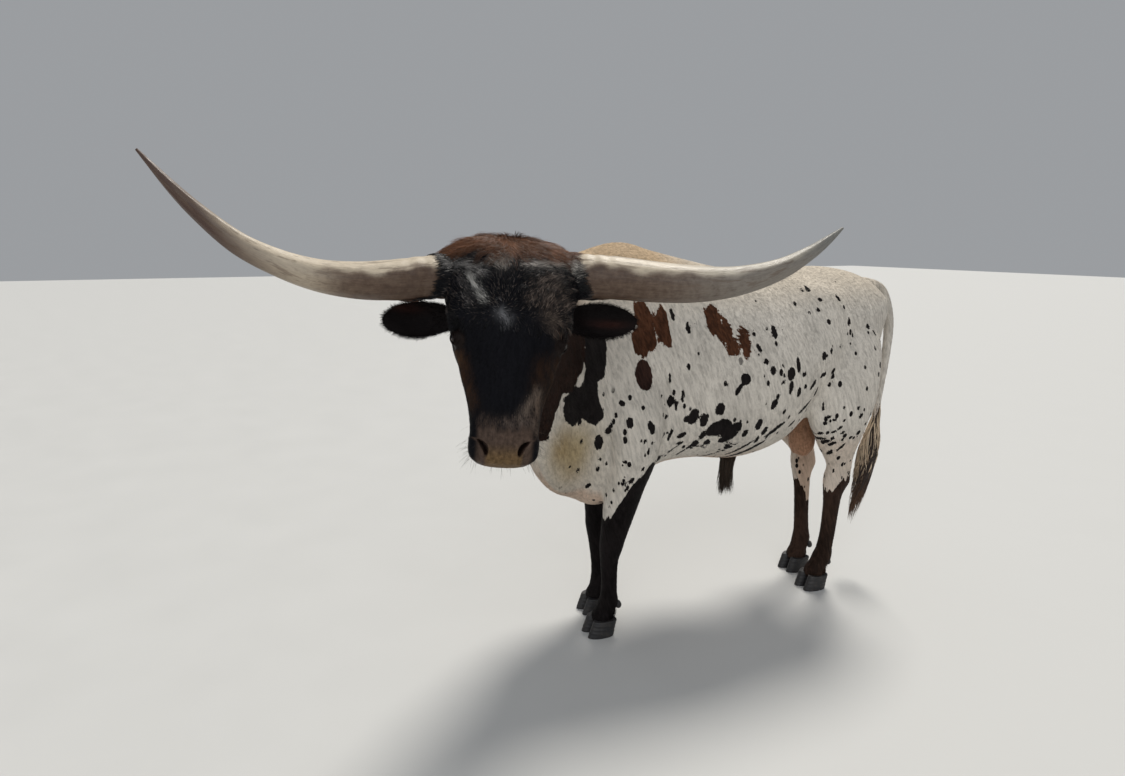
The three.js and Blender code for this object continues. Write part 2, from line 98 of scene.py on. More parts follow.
# How fine the surface is
VOXEL, QUICK_VOXEL = 0.0048, 0.007
SKIN_FACES = 92000  # before the eyes, the muzzle and the edges of marks are refined
TUFT_PATCH = 0.003  # side of a tuft's own patch on the unwrap
SMALL = 1e-12
FAR = 1e9

# Borders between coats, as heights on the body, places along it, and places down the face
TRUNK_COAT_LOW, LEG_COAT_LOW, CORONET_TOP = 640, 70, 92
SHEATH_TUFT_TOP = 622
SWITCH_TOP = 760
BARREL_FRONT = -60
FACE_COAT_TOP = 230


def unit(vectors):
    return vectors / np.maximum(np.linalg.norm(vectors, axis=-1, keepdims=True), SMALL)


def ease(x, low, high):
    """Rises smoothly from 0 at low to 1 at high. With low above high it falls."""
    t = np.clip((x - low) / (high - low), 0, 1)
    return t * t * (3 - 2 * t)


def bell(x, centre, width):
    return np.exp(-(((x - centre) / width) ** 2))


def hill(points, centre, spread):
    return np.exp(-(((points - np.asarray(centre)) / np.asarray(spread)) ** 2).sum(-1))


def blend(first, second, share):
    """From the first rows to the second, by a share for each row."""
    return first * (1 - share[:, None]) + np.asarray(second) * share[:, None]


def laid(ground, layers):
    """Colours laid over one another, each by its share."""
    for colour, share in layers:
        ground = blend(ground, colour, np.clip(share, 0, 1))
    return ground


def vectors(*columns):
    """Numbers or arrays side by side, as the parts of vectors."""
    return np.stack(np.broadcast_arrays(*columns), -1)


def among(part, names, *wanted):
    return np.isin(part, [names.index(name) for name in wanted])


def head_axes():
    turn, slope = math.radians(HEAD_TURN), math.radians(FACE_SLOPE)
    facing = np.array([math.sin(turn), -math.cos(turn), 0])
    left = np.array([math.cos(turn), math.sin(turn), 0])
    down = facing * math.cos(slope) - UP * math.sin(slope)
    axes = np.array([left, down, np.cross(down, left)])
    tilt = np.array(Matrix.Rotation(math.radians(HEAD_TILT), 3, Vector(facing)))
    axes = axes @ tilt.T
    return HORN_AXIS_POINT - axes[1] * HORN_AXIS_DOWN, axes


HEAD_ORIGIN, HEAD_AXES = head_axes()


def from_body(points):
    return np.asarray(points) * MM + SHIFT


def to_body(points):
    return (points - SHIFT) / MM


def from_head(points):
    """Head axes: x to the animal's left, y down the face from the poll, z out of the forehead."""
    return from_body(np.asarray(points) @ HEAD_AXES + HEAD_ORIGIN)


def to_head(points):
    return (to_body(points) - HEAD_ORIGIN) @ HEAD_AXES.T


def curve_through(rows, t):
    """Points at t (0 to 1) on a smooth curve through the rows."""
    rows = np.asarray(rows, float)
    padded = np.vstack([2 * rows[0] - rows[1], rows, 2 * rows[-1] - rows[-2]])
    place = np.clip(t, 0, 1) * (len(rows) - 1)
    k = np.minimum(place.astype(int), len(rows) - 2)
    u = (place - k)[:, None]
    before, start, end, after = (padded[k + i] for i in range(4))
    leave, arrive = (end - before) / 2, (after - start) / 2
    bend = 3 * (end - start) - 2 * leave - arrive
    return start + leave * u + bend * u**2 + (2 * (start - end) + leave + arrive) * u**3


def heading(rows, t, step=1e-4):
    """The way a curve runs at t."""
    return unit(curve_through(rows, t + step) - curve_through(rows, t - step))


# A row is x, y, z, half-width, reach over, reach under, and how square the upper and lower halves are.

TRUNK_TABLE = [  # y, top, low, half-width, height of the widest place
    (-742, 790, 604, 62, 690),
    (-700, 990, 556, 135, 750),
    (-620, 1270, 520, 190, 830),
    (-530, 1438, 482, 222, 910),
    (-430, 1474, 530, 240, 930),
    (-310, 1446, 618, 258, 930),
    (-150, 1409, 634, 296, 930),
    (30, 1374, 612, 318, 935),
    (200, 1372, 640, 308, 965),
    (340, 1374, 712, 272, 1030),
    (470, 1378, 782, 240, 1100),
    (600, 1362, 832, 215, 1130),
    (700, 1334, 872, 172, 1140),
    (775, 1292, 1080, 108, 1160),
    (802, 1228, 1128, 52, 1166),
]
TRUNK = [(0, y, mid, half, top - mid, mid - low, 1.9, 2.15) for y, top, low, half, mid in TRUNK_TABLE]

NECK = [
    (468, -990, 1240, 95, 125, 120, 2.1, 2.0),
    (410, -968, 1222, 118, 200, 185, 2.0, 1.9),
    (305, -898, 1178, 130, 262, 250, 1.8, 1.7),
    (190, -800, 1122, 150, 325, 325, 1.7, 1.6),
    (82, -670, 1060, 180, 408, 450, 1.7, 1.6),
    (15, -540, 1020, 205, 466, 490, 1.7, 1.8),
    (0, -430, 1000, 200, 472, 400, 1.8, 2.0),
]

HEAD = [
    (0, -14, -30, 66, 22, 24, 2.3, 2.2),
    (0, 0, -28, 118, 48, 50, 2.3, 2.2),
    (0, 40, -18, 168, 88, 90, 2.3, 2.2),
    (0, 108, -8, 176, 104, 112, 2.3, 2.2),
    (0, 175, 0, 174, 102, 122, 2.3, 2.2),
    (0, 235, 0, 165, 97, 130, 2.3, 2.2),
    (0, 290, 0, 147, 90, 120, 2.3, 2.2),
    (0, 345, 0, 131, 84, 96, 2.3, 2.2),
    (0, 410, 2, 115, 74, 70, 2.3, 2.2),
    (0, 475, 4, 100, 64, 56, 2.3, 2.2),
    (0, 530, 6, 92, 58, 54, 2.3, 2.2),
    (0, 575, 2, 93, 50, 48, 2.3, 2.2),
    (0, 604, -4, 72, 30, 34, 2.3, 2.2),
    (0, MUZZLE_END, -8, 40, 12, 12, 2.3, 2.2),
]

JAW = [
    (0, 235, -92, 74, 30, 40, 2, 2),
    (0, 265, -100, 96, 50, 62, 2, 2),
    (0, 320, -95, 90, 50, 60, 2, 2),
    (0, 390, -75, 74, 45, 48, 2, 2),
    (0, 460, -58, 64, 40, 38, 2, 2),
    (0, 520, -48, 62, 36, 34, 2, 2),
    (0, 566, -44, 54, 26, 28, 2, 2),
    (0, 586, -42, 26, 10, 12, 2, 2),
]

EAR_ROOT = 130
EARS = {LEFT: (361, 199, 191), RIGHT: (332, 216, 243)}  # reach, and how far down root and tip are
EAR_TABLE = [  # share of the length, half-width, front and back of the leaf
    (0, 24, 14, 22),
    (0.18, 38, -4, 28),
    (0.4, 49, -19, 32),
    (0.6, 51, -19, 30),
    (0.8, 42, -10, 21),
    (0.94, 25, -2, 12),
    (1, 8, 3, 6),
]

HORNS = {  # out from the middle, below the line through the bases, ahead, share of the base's radius
    LEFT: [
        (130, -20, -14, 1.02),
        (205, -18, 4, 1.03),
        (285, -14, 22, 1),
        (391, -6, 43, 0.94),
        (497, -5, 62, 0.85),
        (605, -20, 76, 0.7),
        (717, -59, 85, 0.52),
        (805, -112, 87, 0.35),
        (866, -159, 86, 0.21),
        (914, -201, 84, 0.06),
    ],
    RIGHT: [
        (130, 8, -14, 1),
        (210, 22, 5, 0.98),
        (298, 44, 24, 0.91),
        (392, 61, 44, 0.81),
        (487, 62, 60, 0.69),
        (581, 43, 73, 0.58),
        (676, 4, 82, 0.48),
        (774, -65, 87, 0.35),
        (850, -131, 87, 0.23),
        (930, -208, 83, 0.06),
    ],
}
HORN_RADIUS, HORN_LENGTH = 60, 900

FORELEG = [
    (150, -450, 1040, 90, 110, 130),
    (188, -450, 880, 98, 118, 135),
    (192, -456, 760, 90, 100, 112),
    (182, -464, 690, 78, 94, 92),
    (164, -478, 610, 64, 90, 74),
    (148, -487, 535, 54, 86, 62),
    (134, -493, 465, 47, 77, 54),
    (126, -499, 400, 46, 62, 48),
    (120, -501, 350, 47, 48, 46),
    (113, -500, 295, 37, 36, 41),
    (105, -498, 215, 32, 36, 35),
    (99, -496, 160, 34, 38, 36),
    (95, -496, 126, 41, 44, 40),
    (90, -506, 92, 40, 40, 38),
    (87, -514, 68, 49, 42, 46),
    (86, -515, 48, 49, 42, 46),
]

HINDLEG = [
    (95, 560, 1150, 90, 142, 150),
    (150, 565, 1040, 112, 116, 200),
    (172, 560, 910, 118, 93, 215),
    (178, 545, 790, 104, 84, 205),
    (168, 550, 700, 80, 53, 155),
    (154, 562, 615, 56, 33, 112),
    (144, 562, 545, 45, 50, 76),
    (138, 547, 490, 44, 72, 66),
    (133, 540, 430, 38, 50, 50),
    (128, 540, 370, 33, 43, 42),
    (120, 538, 260, 31, 41, 39),
    (110, 534, 180, 34, 42, 38),
    (104, 530, 138, 42, 48, 42),
    (98, 514, 98, 42, 42, 40),
    (95, 502, 68, 49, 42, 46),
    (94, 501, 48, 49, 42, 46),
]

LEGS = {  # side, stations, and how far the lower leg is set to the left and to the rear
    "foreleg_left": (LEFT, FORELEG, -4, -4),
    "foreleg_right": (RIGHT, FORELEG, -8, 54),
    "hindleg_left": (LEFT, HINDLEG, -2, -4),
    "hindleg_right": (RIGHT, HINDLEG, 8, 50),
}
HOOF_LENGTH, HOOF_HEIGHT, CLAW_HALF_WIDTH, CLEFT_HALF = 112, 62, 27, 1.5
DEWCLAW = (11, 13, 18)

TAIL = [
    (0, 690, 1296, 34, 24, 30),
    (0, 765, 1290, 36, 26, 30),
    (4, 846, 1252, 32, 26, 26),
    (12, 894, 1130, 26, 22, 22),
    (20, 888, 980, 21, 19, 19),
    (24, 866, 830, 18, 17, 17),
    (24, 848, 690, 16, 15, 15),
    (22, 842, 620, 17, 16, 16),
    (20, 828, 540, 15, 14, 14),
    (16, 812, 450, 9, 9, 9),
]

SCROTUM = [
    (0, 470, 810, 30, 30, 30),
    (0, 470, 740, 46, 40, 40),
    (0, 468, 670, 62, 50, 50),
    (0, 465, 612, 62, 50, 50),
    (0, 463, 568, 36, 30, 30),
]

SHEATH = [
    (0, 112, 690, 45, 60, 68),
    (0, 98, 612, 28, 34, 38),
    (0, 82, 565, 21, 22, 24),
    (0, 74, 535, 12, 13, 13),
]


def both_sides(rows):
    """Swellings as x, y, z, height, spread x, y, z, each with its mirror image."""
    return rows + [(-x, *rest) for x, *rest in rows]


TRUNK_SWELLINGS = both_sides(
    [
        (235, -500, 990, 30, 130, 120, 230),  # shoulder muscle
        (215, -640, 880, 26, 110, 80, 90),  # point of the shoulder
        (120, -400, 1360, 14, 70, 130, 70),  # top of the shoulder blade
        (250, 400, 1250, 34, 95, 75, 60),  # hook bone
        (120, 745, 1205, 28, 70, 60, 55),  # pin bone
        (250, 260, 1160, -22, 110, 110, 110),  # hunger hollow behind the ribs
        (230, 330, 830, -20, 90, 90, 90),  # flank
        (90, 330, 1380, -10, 60, 190, 50),  # dip beside the spine of the loin
    ]
)

HEAD_SWELLINGS = both_sides(
    [
        (182, HORN_AXIS_DOWN - 6, -8, 28, 60, 56, 70),  # hairy skin at the foot of the horn
        (142, 254, 48, 13, 42, 34, 44),  # brow ridge
        (148, 330, 20, 9, 34, 24, 34),  # lower rim of the eye socket
        (152, 294, 28, -13, 24, 24, 26),  # socket of the eye
        (128, 320, -70, 16, 50, 70, 50),  # cheek muscle
        (80, 380, 72, -7, 30, 60, 30),  # hollow beside the bridge of the nose
        (72, 552, 34, 7, 26, 26, 26),  # wing of the nostril
    ]
) + [(0, 24, 40, -18, 130, 60, 90)]  # the skull under the hair of the poll


def only(piece):
    bpy.ops.object.select_all(action="DESELECT")
    piece.select_set(True)
    bpy.context.view_layer.objects.active = piece


def numbers(items, name, width, kind=np.float32):
    found = np.empty(len(items) * width, kind)
    items.foreach_get(name, found)
    return found.reshape(-1, width) if width > 1 else found


def places(piece):
    return numbers(piece.data.vertices, "co", 3).astype(float)


def set_places(piece, points):
    piece.data.vertices.foreach_set("co", np.asarray(points, np.float32).ravel())
    piece.data.update()


def normals(piece):
    return numbers(piece.data.vertex_normals, "vector", 3).astype(float)


def swell(points, outward, swellings):
    for x, y, z, height, *spread in swellings:
        points = points + outward * (height * hill(points, (x, y, z), spread))[:, None]
    return points


def squared(value, power):
    return np.sign(value) * np.abs(value) ** (2 / power)


def on_loft(rows, t, turn, hint, along, inset=0.0, swellings=()):
    """Points at t along and turn round a body that is lofted through oval stations."""
    rows = np.array([tuple(row) + (2, 2)[len(row) - 6 :] for row in rows], float)
    centre = curve_through(rows[:, :3], t)
    reach = curve_through(rows[:, 3:6], t)
    reach = reach - inset * np.sign(reach)
    power = curve_through(rows[:, 6:8], t)
    tangent = heading(rows[:, :3], t) if along is None else np.broadcast_to(along, centre.shape)
    side = unit(np.cross(tangent, hint))
    over = unit(np.cross(side, tangent))
    c, s = np.cos(turn), np.sin(turn)
    shape = np.where(s > 0, power[:, 0], power[:, 1])
    across = squared(c, shape) * reach[:, 0]
    upward = squared(s, shape) * np.where(s > 0, reach[:, 1], reach[:, 2])
    offset = side * across[:, None] + over * upward[:, None]
    return centre, swell(centre + offset, unit(offset), swellings)


def new_ball(name, segments, rings, radius=1):
    bpy.ops.object.select_all(action="DESELECT")
    bpy.ops.mesh.primitive_uv_sphere_add(segments=segments, ring_count=rings, radius=radius)
    piece = bpy.context.object
    piece.name = piece.data.name = name
    return piece


def face_outward(piece):
    only(piece)
    bpy.ops.object.mode_set(mode="EDIT")
    bpy.ops.mesh.select_all(action="SELECT")
    bpy.ops.mesh.normals_make_consistent(inside=False)
    bpy.ops.object.mode_set(mode="OBJECT")
    bpy.ops.object.shade_smooth()


def round_ball(ball, rings):
    """Rings passed from the top pole down to each point, its share of the way, and its turn."""
    fall = np.arccos(np.clip(ball[:, 2], -1, 1)) / math.pi * (rings + 2)
    return fall, np.clip((fall - 1) / rings, 0, 1), np.arctan2(ball[:, 1], ball[:, 0])


def loft(name, rows, sides, rings, hint=UP, along=None, inset=0.0, swellings=(), place=from_body):
    """A ball with one ring of faces for each step along the loft, drawn out to its shape."""
    piece = new_ball(name, sides, rings + 2)
    fall, t, turn = round_ball(places(piece), rings)
    centre, points = on_loft(rows, t, turn, hint, along, inset, swellings)
    pole = (fall < 0.5) | (fall > rings + 1.5)
    points[pole] = centre[pole]
    set_places(piece, place(points))
    return piece


def leg_rows(side, rows, left, rear):
    """The stations of one leg. Its setting comes in smoothly from the top of the leg to the knee."""
    top, knee = rows[2][2], rows[0][2] * 0.38
    placed = []
    for x, y, z, *sizes in rows:
        share = ease(-z, -top, -knee)
        placed.append((side * x + left * share, y + rear * share, z, *sizes))
    return placed


def ear_rows(side):
    reach, root, tip = EARS[side]
    rows = []
    for share, wide, front, back in EAR_TABLE:
        out = EAR_ROOT + share * (reach - EAR_ROOT)
        rows.append((side * out, root + (tip - root) * share, share * 6 - 52, wide, front, back))
    return rows


def apply_modifier(piece, kind, **settings):
    only(piece)
    modifier = piece.modifiers.new(kind.title(), kind)
    for name, value in settings.items():
        setattr(modifier, name, value)
    bpy.ops.object.modifier_apply(modifier=modifier.name)


def group_weights(piece, name, weights, steps=20):
    """A vertex group with weights rounded to steps, which is quick to fill."""
    group = piece.vertex_groups.new(name=name)
    level = np.rint(np.clip(weights, 0, 1) * steps).astype(int)
    for k in range(1, steps + 1):
        members = np.flatnonzero(level == k)
        if len(members):
            group.add(members.tolist(), k / steps, "REPLACE")


FLESH = ["trunk", "neck", "head", "lower_jaw", "ear_left", "ear_right"]
FLESH += ["tail", "tail_switch", "scrotum", "sheath"]
FLESH += [f"{leg}_{half}" for leg in LEGS for half in ("upper", "lower")]


def eye_axes(side):
    """The way an eye looks, the line of its slit towards the muzzle, and across it to the upper lid."""
    look = unit(np.array([side * 0.9, -0.04, 0.42]))
    slit = np.array([0, 0.95, 0.28])
    slit = unit(slit - look * (slit @ look))
    lid = np.cross(look, slit)
    return np.array([look, slit, lid if lid[2] > 0 else -lid])


def eye_centre(side):
    return np.array([side * EYE_AT[0], EYE_AT[1], EYE_AT[2]])


def eye_mound(side):
    """The ball under the lids, a little larger than the eye."""
    piece = new_ball("eye_mound", 48, 32, EYE_RADIUS + 2.4)
    set_places(piece, from_head(places(piece) + eye_centre(side)))
    return piece


def flesh_lofts():
    """Every part of the body under the coat, as overlapping closed pieces, with its share of smoothing."""
    face_down = np.array([0.0, 1.0, 0.0])
    face_out = np.array([0.0, 0.0, 1.0])
    made = {
        "trunk": (loft("trunk_loft", TRUNK, 96, 120, UP, REARWARD, 8, TRUNK_SWELLINGS), 1.0),
        "neck": (loft("neck_loft", NECK, 80, 60, UP, None, 9), 1.0),
        "head": (loft("head_loft", HEAD, 96, 110, face_out, face_down, 5, HEAD_SWELLINGS, from_head), 0.08),
        "jaw": (loft("jaw_loft", JAW, 48, 60, face_out, face_down, 4, (), from_head), 0.1),
        "tail": (loft("tail_loft", TAIL, 24, 90, REARWARD, None, 3), 0.15),
        "scrotum": (loft("scrotum_loft", SCROTUM, 40, 40, REARWARD, None, 2), 0.15),
        "sheath": (loft("sheath_loft", SHEATH, 40, 30, REARWARD, None, 5), 0.3),
    }
    for side, word in SIDES:
        ear = loft(f"ear_loft_{word}", ear_rows(side), 40, 50, face_out, None, 2, (), from_head)
        made[f"ear_{word}"] = (ear, 0.05)
        made[f"mound_{word}"] = (eye_mound(side), 0.05)
    for name, plan in LEGS.items():
        made[name] = (loft(f"{name}_loft", leg_rows(*plan), 48, 150, REARWARD, None, 5), 0.15)
    return made


def join(pieces, name):
    bpy.ops.object.select_all(action="DESELECT")
    for piece in pieces:
        piece.select_set(True)
    bpy.context.view_layer.objects.active = pieces[0]
    bpy.ops.object.join()
    pieces[0].name = pieces[0].data.name = name
    return pieces[0]


class Parts:
    """Which part of the body is nearest to a point."""

    def __init__(self, made):
        self.names = list(made)
        self.smoothing = np.array([share for _, share in made.values()])
        clouds = [places(piece)[::2] for piece, _ in made.values()]
        self.part = np.repeat(np.arange(len(clouds)), [len(cloud) for cloud in clouds])
        self.tree = KDTree(len(self.part))
        for k, point in enumerate(np.concatenate(clouds)):
            self.tree.insert(point, k)
        self.tree.balance()

    def at(self, points):
        return self.part[[self.tree.find(point)[1] for point in points]]

    def among(self, part, *names):
        return among(part, self.names, *names)


def select_faces(piece, chosen):
    only(piece)
    bpy.ops.object.mode_set(mode="EDIT")
    bpy.ops.mesh.select_mode(type="FACE")
    bpy.ops.mesh.select_all(action="DESELECT")
    bpy.ops.object.mode_set(mode="OBJECT")
    piece.data.polygons.foreach_set("select", chosen)
    bpy.ops.object.mode_set(mode="EDIT")


def face_centres(piece):
    return numbers(piece.data.polygons, "center", 3).astype(float)


def refine(piece, chosen):
    select_faces(piece, chosen)
    bpy.ops.mesh.subdivide(number_cuts=1, ngon=False)
    bpy.ops.object.mode_set(mode="OBJECT")


def near_eyes(points, reach):
    face = to_head(points)
    return np.minimum(*(np.linalg.norm(face - eye_centre(side), axis=1) for side in (LEFT, RIGHT))) < reach


def on_muzzle(points, start):
    face = to_head(points)
    return (face[:, 1] > start) & (face[:, 1] < 640) & (np.abs(face[:, 0]) < 120) & (np.abs(face[:, 2]) < 120)


def rough_skin():
    """The lofts as one closed mesh: fused, smoothed, thinned on the body and kept fine on the head."""
    made = flesh_lofts()
    parts = Parts(made)
    skin = join([piece for piece, _ in made.values()], "skin")
    only(skin)
    skin.data.remesh_voxel_size = VOXEL
    bpy.ops.object.voxel_remesh()
    part = parts.at(places(skin))
    group_weights(skin, "smoothing", parts.smoothing[part])
    apply_modifier(skin, "SMOOTH", factor=0.5, iterations=130, vertex_group="smoothing")
    body = ~parts.among(part, "ear_left", "ear_right", *FACE_PARTS)
    group_weights(skin, "body", body.astype(float))
    wanted = SKIN_FACES / (2 * len(skin.data.polygons))
    apply_modifier(skin, "DECIMATE", ratio=min(wanted, 1), vertex_group="body", vertex_group_factor=1.0)
    for reach, muzzle in ((46, 505), (36, 700)):
        centre = face_centres(skin)
        refine(skin, near_eyes(centre, reach) | on_muzzle(centre, muzzle))
    for _ in range(2):
        size = np.sqrt(numbers(skin.data.polygons, "area", 1)) / MM
        refine(skin, (size > 5) & (mark_distance(face_centres(skin)) < 2 + 0.8 * size))
    skin.vertex_groups.clear()
    return skin, parts


def sculpt_eye(face, side):
    """Lids round an almond opening. Inside it the skin goes behind the ball."""
    look, slit, lid = eye_axes(side)
    away = face - eye_centre(side)
    reach = np.linalg.norm(away, axis=1)
    near = reach < 60
    way = unit(away[near])
    along = np.degrees(np.arctan2(way @ slit, np.maximum(way @ look, 1e-3)))
    across = np.degrees(np.arcsin(np.clip(way @ lid, -1, 1)))
    turned = np.degrees(np.arccos(np.clip(way @ look, -1, 1)))
    share = np.clip(1 - (along / SLIT_HALF) ** 2, 0, 1)
    upper = LID_OVER * share**0.75 + 2 * ease(along, -50, 30) * share
    lower = -LID_UNDER * share**0.85
    inside = np.minimum(upper - across, across - lower) * math.radians(1) * EYE_RADIUS
    past_corner = np.abs(along) - SLIT_HALF
    inside = np.where(past_corner > 0, -past_corner * 0.4, inside)
    lid_thickness = 2.2 + 1.1 * bell(inside, -1.6, 1.6)
    lid_thickness -= 1.3 * bell(inside, -5.5, 1.2) * (across > 0)
    lid_thickness -= 0.9 * bell(inside, -9.5, 1.4) * (across > 0)
    lid_thickness -= 1.0 * bell(inside, -5.0, 1.3) * (across < 0)
    wanted = EYE_RADIUS + lid_thickness + (-4.5 - lid_thickness) * ease(inside, -0.3, 1.2)
    share = ease(turned, 84, 60)
    moved = reach[near] + (wanted - reach[near]) * share
    face[near] = eye_centre(side) + way * moved[:, None]


def nostril_shape(face, side):
    """How far a point is from the middle of the nostril's slit, 1 at its rim, and which side of it."""
    x, y = side * (face[:, 0] + 4) - NOSTRIL_AT[0], face[:, 1] - NOSTRIL_AT[1]
    along = (x * 0.58 - y * 0.81) / 21  # up and outwards along the slit
    across = (x * 0.81 + y * 0.58 - 5 * along**2) / (6.0 - 2.0 * along)
    return np.hypot(along, across), across


def sculpt_head(skin):
    """Moves the fine features of the face: lids, nostrils, lips, and the bones that show."""
    points = places(skin)
    face = to_head(points)
    outward = normals(skin) @ HEAD_AXES.T
    near = (face[:, 1] > -60) & (face[:, 1] < 640) & (np.abs(face[:, [0, 2]]) < 230).all(1)
    local, out = face[near], outward[near]
    one_side = vectors(np.abs(local[:, 0]), local[:, 1], local[:, 2])
    x, y, z = one_side.T
    move = np.zeros(len(local))
    for *centre, height, sx, sy, sz in FACE_FEATURES:
        move += height * hill(one_side, centre, (sx, sy, sz))
    # The mouth runs round the end of the muzzle to its corners
    line = -30 + 0.10 * (600 - y) - 10 * ease(y, 560, 500)
    mouth = ease(y, 486, 512) * ease(z, 10, -5)
    move -= 6 * bell(z, line, 3.2) * mouth
    move += 3.5 * bell(z - line, 13, 9) * mouth
    move += 3.0 * bell(z - line, -12, 9) * mouth
    # The groove in the middle of the nose plate
    move -= 1.6 * bell(x, 0, 2.2) * ease(y, 565, 585) * ease(z, -20, 0)
    # Wrinkles over the eye and down the cheek
    fold = np.sin((y * 0.5 - z * 0.35 + 6 * np.sin(z * 0.07)) * 0.42)
    move += 0.9 * fold * hill(one_side, (140, 232, 40), (26, 30, 36))
    local = local + out * move[:, None]
    for side in (LEFT, RIGHT):
        here = side * local[:, 0] > 0
        distance, across = nostril_shape(local, side)
        front = here & (local[:, 2] > -5) & (distance < 4)
        rim = 3.2 * bell(distance, 1.6, 0.5) * ease(across, -1.2, 0.8)
        hole = -24 * ease(distance, 1.12, 0.66)
        inward = unit(np.array([side * 0.25, 0.12, 0.96]))
        local[front] += out[front] * rim[front, None] + inward * hole[front, None]
        sculpt_eye(local, side)
    face[near] = local
    set_places(skin, from_head(face))


FACE_FEATURES = [  # on both sides of the head: x, y, z, height, spread x, y, z
    (142, 258, 52, 5, 24, 15, 24),  # brow over the eye
    (112, 226, 60, -4, 30, 34, 30),  # hollow of the temple
    (140, 328, 30, 4, 20, 12, 22),  # rim under the eye
    (128, 342, 40, -3, 12, 26, 12),  # run from the corner of the eye
    (118, 388, 12, 5, 16, 50, 15),  # facial ridge
    (92, 440, 30, -4, 18, 60, 22),  # hollow over the cheek teeth
    (48, 400, 76, 3, 12, 110, 14),  # edge of the nasal bone
    (30, 500, 62, -2, 20, 30, 14),  # dip over the nostrils
    (122, 300, -66, 5, 40, 52, 34),  # cheek muscle
    (86, 420, -62, -4, 22, 60, 26),  # behind the corner of the mouth
    (24, 596, 26, 4, 26, 16, 22),  # nose plate
    (78, 590, 10, 5, 18, 18, 22),  # side of the upper lip
    (0, 585, -56, 5, 34, 16, 18),  # chin
]


def leg_axis(name, z):
    """Middle, half-width and reach of a leg at given heights."""
    rows = np.array([row[:6] for row in leg_rows(*LEGS[name])])[::-1]
    x, y, wide, ahead, behind = (np.interp(z, rows[:, 2], rows[:, k]) for k in (0, 1, 3, 4, 5))
    return x, y, wide, (ahead + behind) / 2


def from_leg(body, name):
    """Distance from a leg's axis as a share of its thickness, and the way round it."""
    x, y, wide, reach = leg_axis(name, body[:, 2])
    across, along = (body[:, 0] - x) / wide, (body[:, 1] - y) / reach
    return np.hypot(across, along), across, along


def line_share(points, rows, width):
    """1 on a broken line and 0 further off than its width."""
    rows = np.asarray(rows, float)
    distance = np.full(len(points), FAR)
    for start, end in zip(rows, rows[1:]):
        edge = end - start
        t = np.clip(((points - start) @ edge) / (edge @ edge), 0, 1)
        distance = np.minimum(distance, np.linalg.norm(points - start - t[:, None] * edge, axis=1))
    return bell(distance, 0, width)


MIDDLE = np.array([row[:2] for row in NECK])


def out_of_middle(body):
    """How far a point is to the left of the middle of the body, which follows the bend of the neck."""
    return body[:, 0] - np.interp(body[:, 1], MIDDLE[:, 1], MIDDLE[:, 0])


BODY_LINES = [  # height, width, and points as y, z on the flank of both sides
    (-9, 16, [(-575, 800), (-563, 746), (-551, 640), (-556, 560)]),  # crease between brisket and foreleg
    (6, 22, [(-352, 1230), (-340, 1120), (-352, 1000)]),  # rear edge of the shoulder blade
    (-5, 20, [(-322, 1240), (-310, 1120), (-322, 1000)]),
    (7, 30, [(-560, 1290), (-500, 1120), (-560, 960)]),  # spine of the shoulder blade
    (-7, 26, [(300, 1000), (340, 900), (372, 800)]),  # fold of the flank
    (-6, 24, [(560, 1080), (590, 960), (570, 820), (600, 700)]),  # groove down the thigh
    (5, 30, [(395, 1200), (500, 1180), (640, 1190)]),  # hook to pin bone
    (-7, 12, [(-700, 1130), (-672, 1000), (-640, 880)]),  # folds on the bent side of the neck
    (5, 14, [(-672, 1130), (-645, 1000), (-618, 890)]),
    (-6, 12, [(-750, 1130), (-730, 1000), (-700, 880)]),
    (5, 14, [(-726, 1130), (-702, 1000), (-672, 880)]),
    (-5, 10, [(-820, 1100), (-795, 990), (-760, 880)]),
]


def sculpt_body(skin, parts, part):
    """Folds, creases and the muscles and tendons that show through the coat."""
    points, outward = places(skin), normals(skin)
    body = to_body(points)
    trunk = parts.among(part, "trunk", "neck", *LEGS)
    x, y, z = body.T
    side = out_of_middle(body)
    move = np.zeros(len(body))
    flat = body[:, 1:]
    facing = ease(np.abs(side), 60, 130) * ease(np.abs(outward[:, 0]), 0.15, 0.5)
    for height, width, rows in BODY_LINES:
        move += height * line_share(flat, rows, width) * facing
    ribs = np.sin((y + 0.22 * z) / 11.5) * hill(flat, (10, 980), (210, 190))
    move += 1.6 * ribs * ease(np.abs(side), 150, 250)
    wrinkles = np.sin((y * 0.9 + 7 * np.sin(z / 41) + 0.1 * z) / 5.2) * hill(flat, (-560, 1080), (90, 150))
    move += 1.5 * wrinkles * ease(np.abs(side), 120, 200)
    move += 1.6 * np.sin((z + 0.5 * y + 9 * np.sin(y / 33)) / 9) * hill(flat, (-690, 700), (90, 80))
    for name in LEGS:
        near, across, along = from_leg(body, name)
        here = parts.among(part, name) & (near < 1.6) & (z < 620)
        bone = ease(z, 140, 185) * ease(z, 330, 290)
        groove = bell(along, 0.25, 0.2) * bell(np.abs(across), 0.9, 0.35)
        move -= np.where(here, 4.0 * groove * bone, 0)
        top = 350 if name.startswith("fore") else 470
        joint = bell(z, top, 26) * bell(np.abs(across), 0.9, 0.4)
        move += np.where(here, 3.0 * joint, 0)
        if name.startswith("hind"):
            hollow = bell(z, 525, 45) * bell(along, 0.45, 0.22)
            move -= np.where(here, 7.0 * hollow * ease(np.abs(across), 0.4, 0.8), 0)
    move -= 5 * parts.among(part, "scrotum") * bell(x, 0, 5) * ease(z, 740, 640)
    move *= trunk | parts.among(part, "scrotum")
    set_places(skin, points + outward * (move * MM)[:, None])


# Markings: on the flanks as y, z, half-length, half-width, and how far the top leans to the front in degrees

